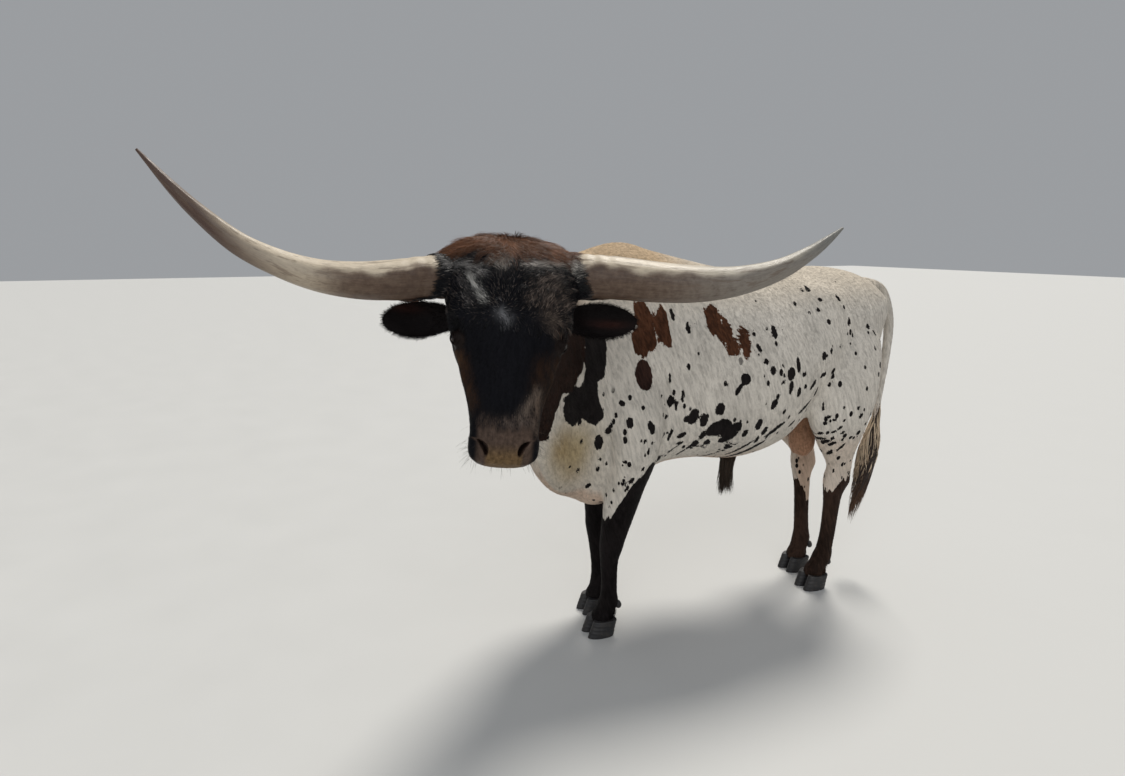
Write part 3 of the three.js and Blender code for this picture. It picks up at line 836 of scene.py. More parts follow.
CHESTNUT_SPOTS = [
    (-428, 1202, 69, 37, 14),
    (-452, 1131, 50, 39, 7),
    (-410, 1132, 31, 24, 22),
    (-365, 1187, 63, 26, -4),
    (-355, 1132, 25, 20, 18),
    (-165, 1196, 52, 33, 0),
    (-148, 1160, 40, 26, 20),
    (-125, 1150, 47, 27, 0),
    (-111, 1104, 38, 25, 0),
    (-56, 1115, 58, 25, 1),
]
# Painted shade: a spot of the same chestnut hair low on the shoulder, given a darker brown.
SHADED_CHESTNUT_SPOTS = [(-453, 1021, 53, 33, 6)]
BLACK_SPOTS = [
    (-537, 929, 10, 9, 7),
    (-516, 864, 20, 11, 1),
    (-574, 831, 14, 12, -12),
    (-602, 789, 30, 17, 11),
    (-439, 841, 26, 12, 17),
    (-555, 889, 11, 5, 9),
    (-346, 921, 21, 14, -6),
    (-362, 866, 10, 8, -37),
    (-254, 858, 31, 20, -17),
    (-280, 850, 11, 9, -45),
    (-284, 786, 18, 12, -62),
    (-280, 753, 14, 8, -76),
    (-222, 739, 19, 11, -51),
    (-297, 727, 23, 5, -43),
    (-246, 714, 29, 5, -38),
    (-330, 794, 26, 7, -11),
    (-351, 1001, 19, 6, 3),
    (-299, 934, 26, 6, -2),
    (-322, 903, 22, 6, -3),
    (-471, 913, 9, 6, -2),
    (-463, 792, 11, 6, -11),
    (-445, 756, 14, 7, -12),
    (-521, 719, 8, 7, 75),
    (-587, 720, 8, 6, -69),
    (-671, 687, 13, 7, -4),
    (-610, 612, 12, 9, -18),
    (-490, 642, 15, 9, -31),
    (-512, 634, 10, 9, 67),
    (-457, 688, 9, 5, -28),
    (-499, 611, 14, 7, -20),
    (-317, 1217, 21, 7, 10),
    (-265, 1172, 21, 9, -1),
    (-235, 1185, 12, 6, 10),
    (76, 1145, 23, 15, 2),
    (0, 1087, 13, 9, 9),
    (-14, 1145, 14, 6, 16),
    (22, 1043, 13, 11, -90),
    (51, 1009, 17, 12, 6),
    (95, 1026, 9, 8, 14),
    (26, 966, 11, 9, -23),
    (-66, 986, 22, 20, 23),
    (-92, 951, 26, 9, -29),
    (-136, 968, 7, 6, -11),
    (96, 966, 9, 8, -45),
    (74, 914, 10, 8, -20),
    (60, 884, 22, 15, -36),
    (171, 1020, 31, 11, 7),
    (132, 992, 25, 18, -14),
    (133, 941, 29, 11, -6),
    (199, 984, 12, 10, -51),
    (176, 920, 21, 9, -7),
    (210, 937, 10, 8, -22),
    (259, 939, 25, 10, -46),
    (303, 900, 22, 11, -19),
    (241, 850, 46, 9, -61),
    (185, 790, 19, 7, -45),
    (116, 850, 12, 7, -33),
    (-212, 843, 27, 16, 0),
    (-158, 882, 24, 18, 0),
    (-149, 808, 48, 33, -66),
    (-96, 784, 50, 29, -34),
    (-202, 783, 19, 13, 0),
    (-219, 741, 22, 12, 0),
    (-173, 741, 21, 13, 0),
    (-78, 724, 22, 11, 0),
    (-35, 777, 16, 11, 0),
    (10, 810, 24, 14, 0),
    (48, 778, 21, 12, 0),
    (99, 778, 47, 10, -51),
    (31, 742, 17, 9, 0),
    (-14, 705, 49, 7, -43),
    (23, 685, 75, 10, -50),
    (-99, 681, 80, 6, -47),
    (320, 1041, 17, 13, -17),
    (361, 1055, 14, 8, -8),
    (415, 1070, 9, 8, -36),
    (462, 1161, 17, 9, 4),
    (360, 1166, 12, 10, 29),
    (416, 1252, 16, 7, 35),
    (306, 1288, 14, 9, 24),
    (276, 1284, 10, 6, 52),
    (337, 1250, 10, 8, 80),
    (320, 1211, 10, 8, 9),
    (278, 1202, 8, 7, 61),
    (572, 1137, 12, 10, -55),
    (601, 1110, 15, 6, 37),
    (582, 1055, 12, 6, 14),
    (386, 976, 15, 8, -48),
    (327, 967, 20, 9, -65),
    (495, 826, 10, 7, -31),
    (514, 793, 13, 8, -24),
    (446, 777, 8, 6, -19),
    (479, 652, 22, 7, -28),
    (392, 792, 8, 6, -50),
    (408, 780, 9, 6, -60),
    (381, 764, 9, 7, 0),
    (436, 746, 10, 6, -55),
    (420, 727, 9, 6, -60),
    (402, 722, 8, 6, 0),
    (455, 722, 9, 6, -35),
    (386, 716, 8, 6, 0),
    (398, 689, 12, 7, -60),
    (418, 680, 13, 8, -60),
    (440, 671, 15, 9, -55),
    (428, 697, 9, 6, 0),
    (470, 691, 8, 6, 0),
    (500, 700, 9, 6, 0),
    (395, 640, 9, 7, 0),
    (452, 628, 14, 8, 10),
    (412, 600, 9, 6, 0),
    (370, 829, 17, 5, 0),
]
NECK_PATCHES = [  # outlines as y, z
    [(-640, 1225), (-592, 1190), (-582, 1120), (-598, 1018), (-631, 1010), (-622, 952), (-597, 909)]
    + [(-595, 876), (-623, 854), (-657, 867), (-690, 893), (-723, 867), (-759, 894), (-778, 943)]
    + [(-775, 985), (-735, 1010), (-713, 1006), (-683, 1062), (-692, 1090), (-691, 1150), (-700, 1215)],
    [(-700, 1240), (-690, 1150), (-692, 1088), (-722, 1040), (-742, 990), (-790, 1000), (-812, 930)]
    + [(-816, 885), (-828, 838), (-850, 836), (-900, 850), (-1000, 870), (-1120, 1000), (-1120, 1240)]
    + [(-850, 1275)],
]


def other_side(spots):
    """The side that the photograph doesn't show: the same manner of spots at shifted places."""
    moved = []
    for k, (y, z, long, wide, lean) in enumerate(spots):
        at = (y + 55 * math.sin(7.3 * k + 1), z + 48 * math.cos(5.1 * k))
        moved.append((*at, long, wide * 1.1, -lean * 0.5))
    return moved


# The "brown" tone is the chestnut in painted shade.
SPOTS = [(LEFT, CHESTNUT_SPOTS, "chestnut"), (LEFT, SHADED_CHESTNUT_SPOTS, "brown"), (LEFT, BLACK_SPOTS, "black")]
SPOTS += [(RIGHT, other_side(spots), tone) for _, spots, tone in SPOTS]
SPOTS_START = 35  # how far from the middle of the body the spots of a side begin
NO_MARK = -60.0  # a depth far outside every mark


def outline_depth(points, outline):
    """How far points are inside a closed outline, below 0 outside it."""
    corners = np.array(outline, float)
    depth = np.full(len(points), FAR)
    inside = np.zeros(len(points), bool)
    for start, end in zip(corners, np.roll(corners, -1, 0)):
        edge = end - start
        t = np.clip(((points - start) @ edge) / (edge @ edge), 0, 1)
        depth = np.minimum(depth, np.linalg.norm(points - start - t[:, None] * edge, axis=1))
        crosses = (start[1] > points[:, 1]) != (end[1] > points[:, 1])
        at = start[0] + (points[:, 1] - start[1]) * edge[0] / (edge[1] if abs(edge[1]) > SMALL else SMALL)
        inside ^= crosses & (points[:, 0] < at)
    return np.where(inside, depth, -depth)


def spot_depth(points, y, z, long, wide, lean):
    """How far points are inside an oval spot, below 0 outside it."""
    turn = math.radians(lean)
    along = (points[:, 0] - y) * -math.sin(turn) + (points[:, 1] - z) * math.cos(turn)
    across = (points[:, 0] - y) * math.cos(turn) + (points[:, 1] - z) * math.sin(turn)
    reach = np.maximum(np.hypot(along / long, across / wide), 1e-6)
    slope = np.maximum(np.hypot(along / long**2, across / wide**2) / reach, 1e-6)
    return np.minimum((1 - reach) / slope, wide)


def mark_distance(points):
    """How far points are from the edge of a mark, in mm."""
    body = to_body(points)
    side, flat = out_of_middle(body), body[:, 1:]
    distance = np.abs(leg_marks(body)[0])
    for way, spots, _ in SPOTS:
        here = np.flatnonzero(way * side > SPOTS_START)
        for spot in spots:
            distance[here] = np.minimum(distance[here], np.abs(spot_depth(flat[here], *spot)))
    for outline in NECK_PATCHES:
        distance = np.minimum(distance, np.abs(outline_depth(flat, outline)))
    return distance


def leg_marks(body):
    """Dark lower legs: depth inside the dark, whether it is brown, and how thick the specks over it are."""
    y, z = body[:, 1], body[:, 2]
    depth, brown, specks = np.full(len(body), NO_MARK), np.zeros(len(body), bool), np.zeros(len(body))
    for name, (side, _, _, rear) in LEGS.items():
        near, across, along = from_leg(body, name)
        if name == "foreleg_left":
            edge = np.clip(640 + (y + 461) * 1.9, 480, 700)
        elif name == "foreleg_right":
            edge = 620 + 40 * along
        elif name == "hindleg_left":
            edge = np.clip(455 + (y - 500) * 0.62, 430, 545)
        else:
            edge = 405 - 110 * ease(along, -0.6, 0.5) * ease(across, -0.6, 0.2)
        turn = np.arctan2(across, along)
        edge = edge + 13 * np.sin(3 * turn + side + rear) + 8 * np.sin(7 * turn + 2) + 5 * np.sin(13 * turn)
        here = np.minimum((edge - z) * 0.75, (1.45 - near) * 60)
        brown = np.where(here > depth, name.startswith("hind"), brown)
        specks = np.maximum(specks, bell(z - edge, 40, 75) * ease(near, 1.6, 1.3))
        depth = np.maximum(depth, here)
    return depth, brown, specks


# The pale grey and grey-brown lines over the poll, brow, temples, bridge and muzzle are painted sunlit
# streaks and painted sheen on the black hair; the dark brown lines on the cheeks and round the eyes are the
# hair's own colour.
HEAD_ZONES = [  # points of a line in head axes, width, colour, share
    ([(-196, 96, 40), (-160, 102, 66), (-112, 112, 86), (-84, 128, 92)], 15, (0.44, 0.42, 0.40), 1.0),
    ([(-112, 148, 86), (-92, 176, 92), (-76, 204, 94)], 9, (0.62, 0.60, 0.56), 1.1),
    ([(-128, 160, 78), (-110, 210, 84)], 14, (0.22, 0.20, 0.19), 0.3),
    ([(-30, 236, 96), (-14, 248, 94)], 15, (0.25, 0.25, 0.26), 0.5),
    ([(-18, 60, 84), (-30, 112, 92)], 14, (0.44, 0.39, 0.34), 0.7),
    ([(30, 96, 92), (80, 80, 78), (142, 72, 48)], 14, (0.56, 0.51, 0.46), 1.0),
    ([(150, 84, 50), (188, 100, 52), (204, 128, 46)], 14, (0.54, 0.50, 0.45), 0.9),
    ([(60, 150, 94), (128, 148, 80)], 17, (0.22, 0.17, 0.14), 0.42),
    ([(50, 190, 96), (140, 190, 66)], 20, (0.20, 0.15, 0.12), 0.34),
    ([(94, 232, 80), (128, 256, 62)], 22, (0.18, 0.135, 0.105), 0.42),
    ([(126, 268, 60), (142, 318, 40)], 12, (0.07, 0.035, 0.02), 0.7),
    ([(82, 360, 60), (78, 410, 58)], 22, (0.034, 0.017, 0.010), 0.8),
    ([(118, 350, 20), (104, 440, 6)], 34, (0.040, 0.020, 0.011), 0.9),
    ([(-120, 350, 30), (-112, 400, 30), (-92, 460, 30)], 20, (0.046, 0.022, 0.011), 1.0),
    ([(-140, 320, 20), (-128, 350, 16)], 20, (0.08, 0.04, 0.02), 0.8),
    ([(152, 330, 22), (142, 366, 16)], 7, (0.42, 0.26, 0.12), 0.9),
    ([(78, 425, 50), (58, 462, 60), (40, 492, 64)], 15, (0.19, 0.145, 0.115), 0.75),
    ([(80, 450, 40), (78, 520, 36)], 18, (0.17, 0.12, 0.09), 0.7),
    ([(0, 510, 66), (36, 514, 62), (66, 505, 50)], 16, (0.15, 0.11, 0.09), 0.6),
    ([(-34, 512, 62), (-60, 505, 54)], 16, (0.10, 0.07, 0.055), 0.55),
]


def head_marks(face, look, dither):
    """Ground colour and bareness of the head. Dither, from 0 to 1 for each point, breaks up the streaks."""
    x, y, z = face.T
    streaks = 0.5 + 0.5 * np.sin(x / 4.1 + 2.2 * np.sin(y / 15 + x / 31))
    mingled = y + 9 * np.sin(x / 17) + (dither - 0.5) * 52
    # Painted highlight: a few lighter strands over the forehead stand for hair catching the sun.
    painted_sunlit_strands = 0.7 * ease(dither, 0.78, 0.86) * ease(y, 272, 215) * ease(y, 60, 90)
    layers = [((0.085, 0.070, 0.062), painted_sunlit_strands)]
    # Lines of the table: painted sunlit streaks and sheen, and the brown of the cheeks.
    for rows, width, colour, share in HEAD_ZONES:
        layers.append((colour, line_share(face, rows, width) * share * (0.55 + 0.45 * streaks)))
    layers += [
        (look.poll[:], ease(mingled, 84, 52) * ease(np.abs(x), 200, 170) * ease(z, 100, 78)),
        (look.poll[:], ease(mingled, 60, 30)),
        (look.poll[:], ease(z, 30, 0) * ease(y, 110, 70) * ease(np.abs(x), 190, 150)),
        (look.poll[:], ease(z, -20, -60) * ease(y, 230, 120) * 0.6),
        ((0.030, 0.014, 0.009), ease(z, -60, -95) * 0.5),
    ]
    mottled = [(colour, share + (dither - 0.5) * 0.8 * (share > 0.04)) for colour, share in layers]
    ground = laid(np.tile(look.dark_head[:], (len(face), 1)), mottled)
    edge = y + 0.16 * np.abs(x) + 4 * np.sin(x / 6.5 + 1) + 3 * np.sin(x / 2.9) + (dither - 0.5) * 14
    plate = ease(edge, 514, 542) * ease(np.abs(x), 78, 62) * ease(z, -30, -16)
    low = ease(y, 556, 600) * ease(np.abs(x), 52, 40)
    bare = blend(np.array(look.nose[:]), look.nose_tip[:], low)
    for side in (LEFT, RIGHT):
        distance = nostril_shape(face, side)[0]
        plate = np.maximum(plate, (side * x > 0) * ease(distance, 2.0, 1.4) * (z > -5))
        # Painted shade: the inside of each nostril is laid almost black.
        rim = ((side * x > 0) & (z > -30)) * ease(distance, 1.4, 0.95)
        bare = blend(bare, (0.012, 0.006, 0.005), 0.93 * rim)
    ground = blend(ground, bare, plate)
    lip = ease(y, 552, 580) * ease(np.abs(x), 63, 78) * ease(z, 24, -4)
    lip = lip + ease(z, -22, -34) * ease(y, 500, 530)
    worn = ease(dither, 0.6, 0.95)[:, None]
    lip_tone = np.array([0.020, 0.013, 0.011]) + np.array([0.035, 0.022, 0.014]) * worn
    ground = blend(ground, lip_tone, 0.85 * np.clip(lip, 0, 1))
    for side in (LEFT, RIGHT):
        rim = ease(np.linalg.norm(face - eye_centre(side), axis=1), 37, 27)
        ground = blend(ground, (0.012, 0.008, 0.007), rim)
        plate = np.maximum(plate, rim)
    return ground, plate


def body_ground(body, side, look):
    """The colour between the marks: a buff top of the back and hump, partly the hair's own tint and partly
    painted warm sunlight, and the stains of the breast and belly.
    """
    y, z = body[:, 1], body[:, 2]
    flat = body[:, 1:]
    stain = hill(flat, (-765, 800), (45, 75)) * 0.8 + hill(flat, (-700, 690), (50, 60)) * 0.35
    layers = [
        # Partly the hair's own buff and partly painted warm sunlight: the top of the back and the hump are
        # tinted warmer.
        ((0.66, 0.55, 0.41), ease(z, 1180, 1350) * 0.55),
        (look.hump[:], ease(z, 1290, 1400) * ease(y, -120, -330) * ease(y, -760, -640) * 0.75),
        (look.poll[:], ease(y, -600, -800) * ease(z, 1190, 1300) * 0.9),
        ((0.47, 0.35, 0.17), hill(flat, (-700, 770), (85, 110)) * 0.85),
        ((0.30, 0.20, 0.075), stain),
        ((0.50, 0.38, 0.25), hill(flat, (-640, 640), (110, 60)) * 0.2),
        ((0.60, 0.44, 0.33), ease(z, 720, 660) * ease(y, -160, 0) * 0.4),
    ]
    for name, way in (("hindleg_left", LEFT), ("hindleg_right", RIGHT)):
        _, across, _ = from_leg(body, name)
        inner = (side > 0) == (way == LEFT)
        layers.append(((0.62, 0.43, 0.31), inner * ease(-across * way, 0.2, 0.7) * ease(z, 800, 640) * 0.7))
    return laid(np.tile(look.white[:], (len(body), 1)), layers)


def body_marks(body, side, look):
    """How far inside a mark each point is, the mark's colour, and how thick the small specks are."""
    y, z = body[:, 1], body[:, 2]
    flat = body[:, 1:]
    patch = np.full(len(body), NO_MARK)
    mark = np.tile(look.black[:], (len(body), 1))

    def stamp(depth, colour, here=slice(None)):
        deeper = depth > patch[here]
        mark[here] = np.where(deeper[:, None], np.asarray(colour), mark[here])
        patch[here] = np.where(deeper, depth, patch[here])

    for way, spots, tone in SPOTS:
        flank = np.flatnonzero(way * side > SPOTS_START)
        for spot in spots:
            reach = max(spot[2:4]) + 30
            near = flank[(np.abs(flat[flank] - spot[:2]) < reach).all(1)]
            depth = spot_depth(flat[near], *spot)
            if tone == "chestnut":
                row, high = flat[near].T
                depth += 5 * np.sin(row / 5.2 + 1.6 * np.sin(high / 38)) + 4 * np.sin(row / 2.6 + high / 60)
            stamp(depth, getattr(look, tone)[:], near)
    for outline, tone in zip(NECK_PATCHES, (look.black, look.neck_brown)):
        stamp(outline_depth(flat, outline), tone[:])
    depth, brown, edge_specks = leg_marks(body)
    stamp(depth, np.where(brown[:, None], look.leg_brown[:], look.black[:]))
    specks = 0.2 + 0.38 * ease(y, 300, 400) * ease(z, 1150, 1000) + 0.62 * edge_specks
    specks += 0.4 * hill(flat, (425, 740), (70, 80)) + 0.16 * hill(flat, (-480, 860), (110, 130))
    specks += 0.9 * hill(flat, (-495, 640), (55, 75)) + 0.2 * ease(z, 800, 720) * ease(y, -400, -300)
    return patch, mark, specks * ease(z, 1340, 1180)


def markings(points, part, names, look, dither=None):
    """What the coat looks like at points on the skin. Skin and the tufts that root there ask the same."""
    dither = np.full(len(points), 0.5) if dither is None else dither
    body = to_body(points)
    side = out_of_middle(body)
    ground = body_ground(body, side, look)
    patch, mark, specks = body_marks(body, side, look)
    bare = np.zeros(len(points))

    def plain(here):
        patch[here], specks[here] = NO_MARK, 0

    head = among(part, names, "ear_left", "ear_right", *FACE_PARTS)
    if head.any():
        ground[head], bare[head] = head_marks(to_head(points[head]), look, dither[head])
        plain(head)
    for way, word in SIDES:
        ear = among(part, names, f"ear_{word}")
        if ear.any():
            red = hill(to_head(points[ear]), (way * 285, 200, -70), (50, 12, 40)) * 0.3
            ground[ear], bare[ear] = blend(np.array(look.black[:]), (0.10, 0.03, 0.02), red), 0
    pouch = among(part, names, "scrotum")
    ground[pouch], bare[pouch] = look.pouch[:], 0.8
    tuft = among(part, names, "sheath") & (body[:, 2] < SHEATH_TUFT_TOP)
    ground[tuft] = (0.062, 0.043, 0.030)
    plain(pouch | tuft | among(part, names, "tail"))
    return {"ground": ground, "mark": mark, "patch": patch, "specks": np.clip(specks, 0, 1), "bare": bare}


def lie_of_head(face):
    """The way the hair lies in head axes: down the face, and away from the whorl over the eyes."""
    x, y, z = face.T
    down = vectors(0.1 * np.sign(x), 1, -0.25)
    swirl = 0.5 * np.sin(x / 24 + 1.3) + 0.35 * np.sin(y / 19)
    top = ease(y, 170, 95)
    outward = x / 90 + swirl + np.sign(x) * 1.7 * top
    rise = vectors(outward, ((y - 262) / 90 - 0.3) * (1 - 0.65 * top), 0.1)
    rise = blend(rise, (1.0, 0.55, 0.1), np.exp(-(((x + 12) / 34) ** 2) - ((y - 250) / 34) ** 2))
    rise = blend(rise, vectors(x / 110, 0.45, 0.3), ease(y, 70, 20))
    way = blend(unit(down), unit(rise), ease(y, 275, 215))
    return blend(way, (0, -0.2, -1.0), ease(z, 10, -60) * ease(y, 230, 300))


def lie(points, part, names):
    """The way the hair lies at points on the body."""
    body = to_body(points)
    y, z = body[:, 1], body[:, 2]
    way = np.tile((0, 0.42, -0.9), (len(body), 1))
    for toward, share in (
        ((0, 1.0, -0.25), ease(z, 1180, 1340)),  # back
        ((0, 0.1, -1.0), ease(y, 560, 720)),  # rump
        ((0, 0.75, 0.25), hill(body[:, 1:], (300, 860), (90, 110))),  # flank
        ((-0.5, 0.62, -0.75), ease(y, -420, -640)),  # neck
    ):
        way = blend(way, toward, share)
    way[among(part, names, *LEGS) & (z < TRUNK_COAT_LOW)] = [0, 0.16, -1]
    way[among(part, names, "tail", "scrotum", "sheath")] = [0, 0.12, -1]
    head = among(part, names, *FACE_PARTS)
    way[head] = lie_of_head(to_head(points[head])) @ HEAD_AXES
    for out, word in SIDES:
        way[among(part, names, f"ear_{word}")] = np.array([out, 0.1, 0.0]) @ HEAD_AXES
    return unit(way)


def course(points, part, names):
    """Coordinates pressed together along the hair, in which even noise turns into streaks."""
    straight = np.tile(unit(np.array([0, 0.3, -0.95])), (len(points), 1))
    straight[among(part, names, *FACE_PARTS)] = HEAD_AXES[1]
    straight[among(part, names, "ear_left", "ear_right")] = HEAD_AXES[0]
    return points - straight * (points * straight).sum(1)[:, None] * 0.86


def add_numbers(piece, name, values):
    values = np.asarray(values, np.float32)
    kind = "FLOAT" if values.ndim == 1 else "FLOAT_VECTOR"
    if values.ndim == 2 and name in ("ground", "mark"):
        kind, values = "FLOAT_COLOR", np.hstack([values, np.ones((len(values), 1), np.float32)])
    layer = piece.data.attributes.new(name, kind, "POINT")
    field = {"FLOAT": "value", "FLOAT_VECTOR": "vector", "FLOAT_COLOR": "color"}[kind]
    layer.data.foreach_set(field, np.ascontiguousarray(values).ravel())


def finish_skin(skin, part, names, look):
    """Markings, streak coordinates and the unwrap of the skin."""
    points = places(skin)
    for name, values in markings(points, part, names, look).items():
        add_numbers(skin, name, values)
    add_numbers(skin, "root", points)
    add_numbers(skin, "course", course(points, part, names))
    layer = skin.data.attributes.new("part", "INT", "POINT")
    layer.data.foreach_set("value", part.astype(np.int32))
    while skin.data.uv_layers:
        skin.data.uv_layers.remove(skin.data.uv_layers[0])
    skin.data.uv_layers.new(name="OFBake")
    select_faces(skin, np.ones(len(skin.data.polygons), bool))
    bpy.ops.uv.smart_project(angle_limit=1.15, island_margin=0.003)
    bpy.ops.object.mode_set(mode="OBJECT")
    bpy.ops.object.shade_smooth()


class Surface:
    """The finished skin as triangles, for the hair that roots in it."""

    def __init__(self, skin, names):
        mesh = skin.data
        mesh.calc_loop_triangles()
        self.names = names
        self.corners = numbers(mesh.loop_triangles, "vertices", 3, np.int32)
        loops = numbers(mesh.loop_triangles, "loops", 3, np.int32)
        self.uv = numbers(mesh.uv_layers["OFBake"].data, "uv", 2)[loops]
        self.points, self.outward = places(skin), normals(skin)
        self.part = numbers(mesh.attributes["part"].data, "value", 1, np.int32)[self.corners[:, 0]]
        a, b, c = (self.points[self.corners[:, k]] for k in range(3))
        self.area = np.linalg.norm(np.cross(b - a, c - a), axis=1) / 2
        self.middle = (a + b + c) / 3
        self.tree = BVHTree.FromPolygons(self.points.tolist(), self.corners.tolist())

    def among(self, *wanted):
        return among(self.part, self.names, *wanted)

    def plant(self, share, spacing, dice):
        """Roots spread over the triangles, about one for each square of the given spacing in mm."""
        wanted = self.area * share / (spacing * MM) ** 2
        count = np.floor(wanted + dice.random(len(wanted))).astype(int)
        face = np.repeat(np.arange(len(count)), count)
        u, v = dice.random((2, len(face)))
        over = u + v > 1
        u, v = np.where(over, 1 - u, u), np.where(over, 1 - v, v)
        weights = np.stack([1 - u - v, u, v], 1)[:, :, None]
        root = (self.points[self.corners[face]] * weights).sum(1)
        outward = unit((self.outward[self.corners[face]] * weights).sum(1))
        return {
            "root": root,
            "outward": outward,
            "uv": (self.uv[face] * weights).sum(1),
            "part": self.part[face],
            "chance": dice.random(len(face)),
        }

    def nearest(self, points):
        """The nearest places on the skin, the way it faces there, and their triangles."""
        found = [self.tree.find_nearest(point) for point in points]
        return tuple(np.array([hit[k] for hit in found]) for k in range(3))


def turned(ways, outward, angles):
    """Ways laid down on the skin and turned on it."""
    flat = unit(ways - outward * (ways * outward).sum(1)[:, None])
    c, s = np.cos(angles)[:, None], np.sin(angles)[:, None]
    return flat * c + np.cross(outward, flat) * s


def flat_spines(surface, plot, length, lift, dice, spread=0.25):
    """Short hair along the skin: three points each, the tip a little off the surface."""
    root, outward = plot["root"], plot["outward"]
    way = turned(lie(root, plot["part"], surface.names), outward, dice.normal(0, spread, len(root)))
    long = (length * MM * (0.75 + 0.5 * dice.random(len(root))))[:, None]
    reached = root + way * long
    landed, facing, _ = surface.nearest(reached)
    lost = (facing * outward).sum(1) <= 0.2  # the nearest skin is another part's
    facing[lost], landed[lost] = outward[lost], reached[lost]
    up = (lift * MM * (0.4 + 1.2 * dice.random(len(root))))[:, None]
    tip = landed + facing * up
    bulge = ((facing - outward) * way).sum(1)[:, None] * long / 8
    raised = np.clip(bulge, -0.003, 0.006) + up * 0.55 + 0.0006
    middle = root * 0.6 + landed * 0.4 + unit(outward + facing) * raised
    return np.stack([root - outward * 0.0012, middle, tip], 1)


def long_spines(plot, way, length, rise, droop, wave, steps, dice):
    """Long hair: it leaves the skin, bends down with its weight and waves."""
    root, outward, way = plot["root"], plot["outward"][:, None], unit(way)
    s = np.linspace(0, 1, steps)[None, :, None]
    length = (np.broadcast_to(length, len(root)) * MM)[:, None, None]
    phase = dice.random((len(root), 1, 1)) * 6.3
    across = unit(np.cross(way, plot["outward"]))[:, None]
    curl = np.sin(phase + s * wave * (0.7 + 0.6 * dice.random((len(root), 1, 1)))) - np.sin(phase)
    shape = way[:, None] * s + outward * rise * (s - 0.55 * s**2) - UP * droop * s**2
    shape = shape + across * curl * 0.09 * s + outward * curl * 0.05 * s
    return root[:, None] - outward * 0.002 + shape * length


def clumped(spines, plot, each, pull, dice):
    """Draws hair together into locks of about the given number, each lighter or darker than the next."""
    count, steps = spines.shape[:2]
    guides = dice.permutation(count)[: max(count // each, 1)]
    tree = KDTree(len(guides))
    for k, guide in enumerate(guides):
        tree.insert(spines[guide, 0], k)
    tree.balance()
    lock = np.array([tree.find(root)[1] for root in spines[:, 0]])
    plot["shade"] = dice.random(len(guides))[lock] * 0.7 + dice.random(count) * 0.3
    share = pull * np.linspace(0, 1, steps)[None, :, None] ** 1.4
    return spines + (spines[guides[lock]] - spines) * share


def mesh_from(name, points, triangles):
    mesh = bpy.data.meshes.new(name)
    mesh.vertices.add(len(points))
    mesh.vertices.foreach_set("co", np.asarray(points, np.float32).ravel())
    mesh.loops.add(len(triangles) * 3)
    mesh.loops.foreach_set("vertex_index", np.asarray(triangles, np.int32).ravel())
    mesh.polygons.add(len(triangles))
    mesh.polygons.foreach_set("loop_start", np.arange(0, len(triangles) * 3, 3, dtype=np.int32))
    mesh.update(calc_edges=True)
    piece = bpy.data.objects.new(name, mesh)
    bpy.context.scene.collection.objects.link(piece)
    return piece


RING = 3


def lock_faces(inner):
    """Triangles of one lock: a point, its rings of corners, and a point."""
    faces = [(0, 1 + (k + 1) % RING, 1 + k) for k in range(RING)]
    for j in range(inner - 1):
        a, b = 1 + j * RING, 1 + (j + 1) * RING
        for k in range(RING):
            n = (k + 1) % RING
            faces += [(a + k, a + n, b + n), (a + k, b + n, b + k)]
    last = 1 + (inner - 1) * RING
    faces += [(last + k, last + (k + 1) % RING, last + RING) for k in range(RING)]
    return np.array(faces)


def hair_mesh(name, spines, half_width, plot, look, taper=0.75, thick=0.5, follow=0.0):
    """Every spine as a closed, flattened lock that is pointed at both ends, all in one mesh.

    With follow above 0 the locks are shaded more like the skin under them, as a sleek coat is.
    """
    names, outward = skin_surface().names, plot["outward"]
    count, steps = spines.shape[:2]
    inner = steps - 2
    along = unit(np.gradient(spines, axis=1))
    across = unit(np.cross(along, outward[:, None]))
    over = np.cross(across, along)
    s = np.linspace(0, 1, steps)[1:-1]
    narrowing = 1 - taper * np.maximum(s[None, :, None] - 0.35, 0) / 0.65
    wide = np.broadcast_to(half_width, count)[:, None, None] * MM * narrowing
    middle, sideways, upward = spines[:, 1:-1], across[:, 1:-1] * wide, over[:, 1:-1] * wide * thick
    rings = np.stack([middle + sideways, middle + upward, middle - sideways], 2)
    points = np.concatenate([spines[:, :1], rings.reshape(count, inner * RING, 3), spines[:, -1:]], 1)
    per = inner * RING + 2
    faces = lock_faces(inner)
    triangles = (np.arange(count)[:, None, None] * per + faces[None]).reshape(-1, 3)
    a, b, c = (points[0][faces[:, k]] for k in range(3))
    if (np.cross(b - a, c - a) * ((a + b + c) / 3 - points[0].mean(0))).sum() < 0:
        triangles = triangles[:, ::-1]
    piece = mesh_from(name, points.reshape(-1, 3), triangles)
    seen = plot.get("seen", plot["root"])
    shade = plot.get("shade", plot["chance"])
    found = markings(seen, plot["part"], names, look, shade)
    found["ground"] = plot.get("ground", found["ground"])
    found["root"], found["strand"] = seen, shade
    found["course"] = course(seen, plot["part"], names)
    for key, values in found.items():
        add_numbers(piece, key, np.repeat(values, per, axis=0))
    level = np.r_[0, np.repeat(s, RING), 1]
    add_numbers(piece, "along", np.tile(level, count))
    corner = vectors(level - 0.5, np.r_[0, np.tile([0.5, 0, -0.5], inner), 0])
    uv = (plot["uv"][:, None] + corner[None] * TUFT_PATCH).reshape(-1, 2)
    layer = piece.data.uv_layers.new(name="OFBake")
    layer.data.foreach_set("uv", uv[triangles.ravel()].astype(np.float32).ravel())
    only(piece)
    bpy.ops.object.shade_smooth()
    if follow:
        shaded = normals(piece) * (1 - follow) + np.repeat(outward, per, axis=0) * follow
        piece.data.normals_split_custom_set_from_vertices(unit(shaded).tolist())
    return piece


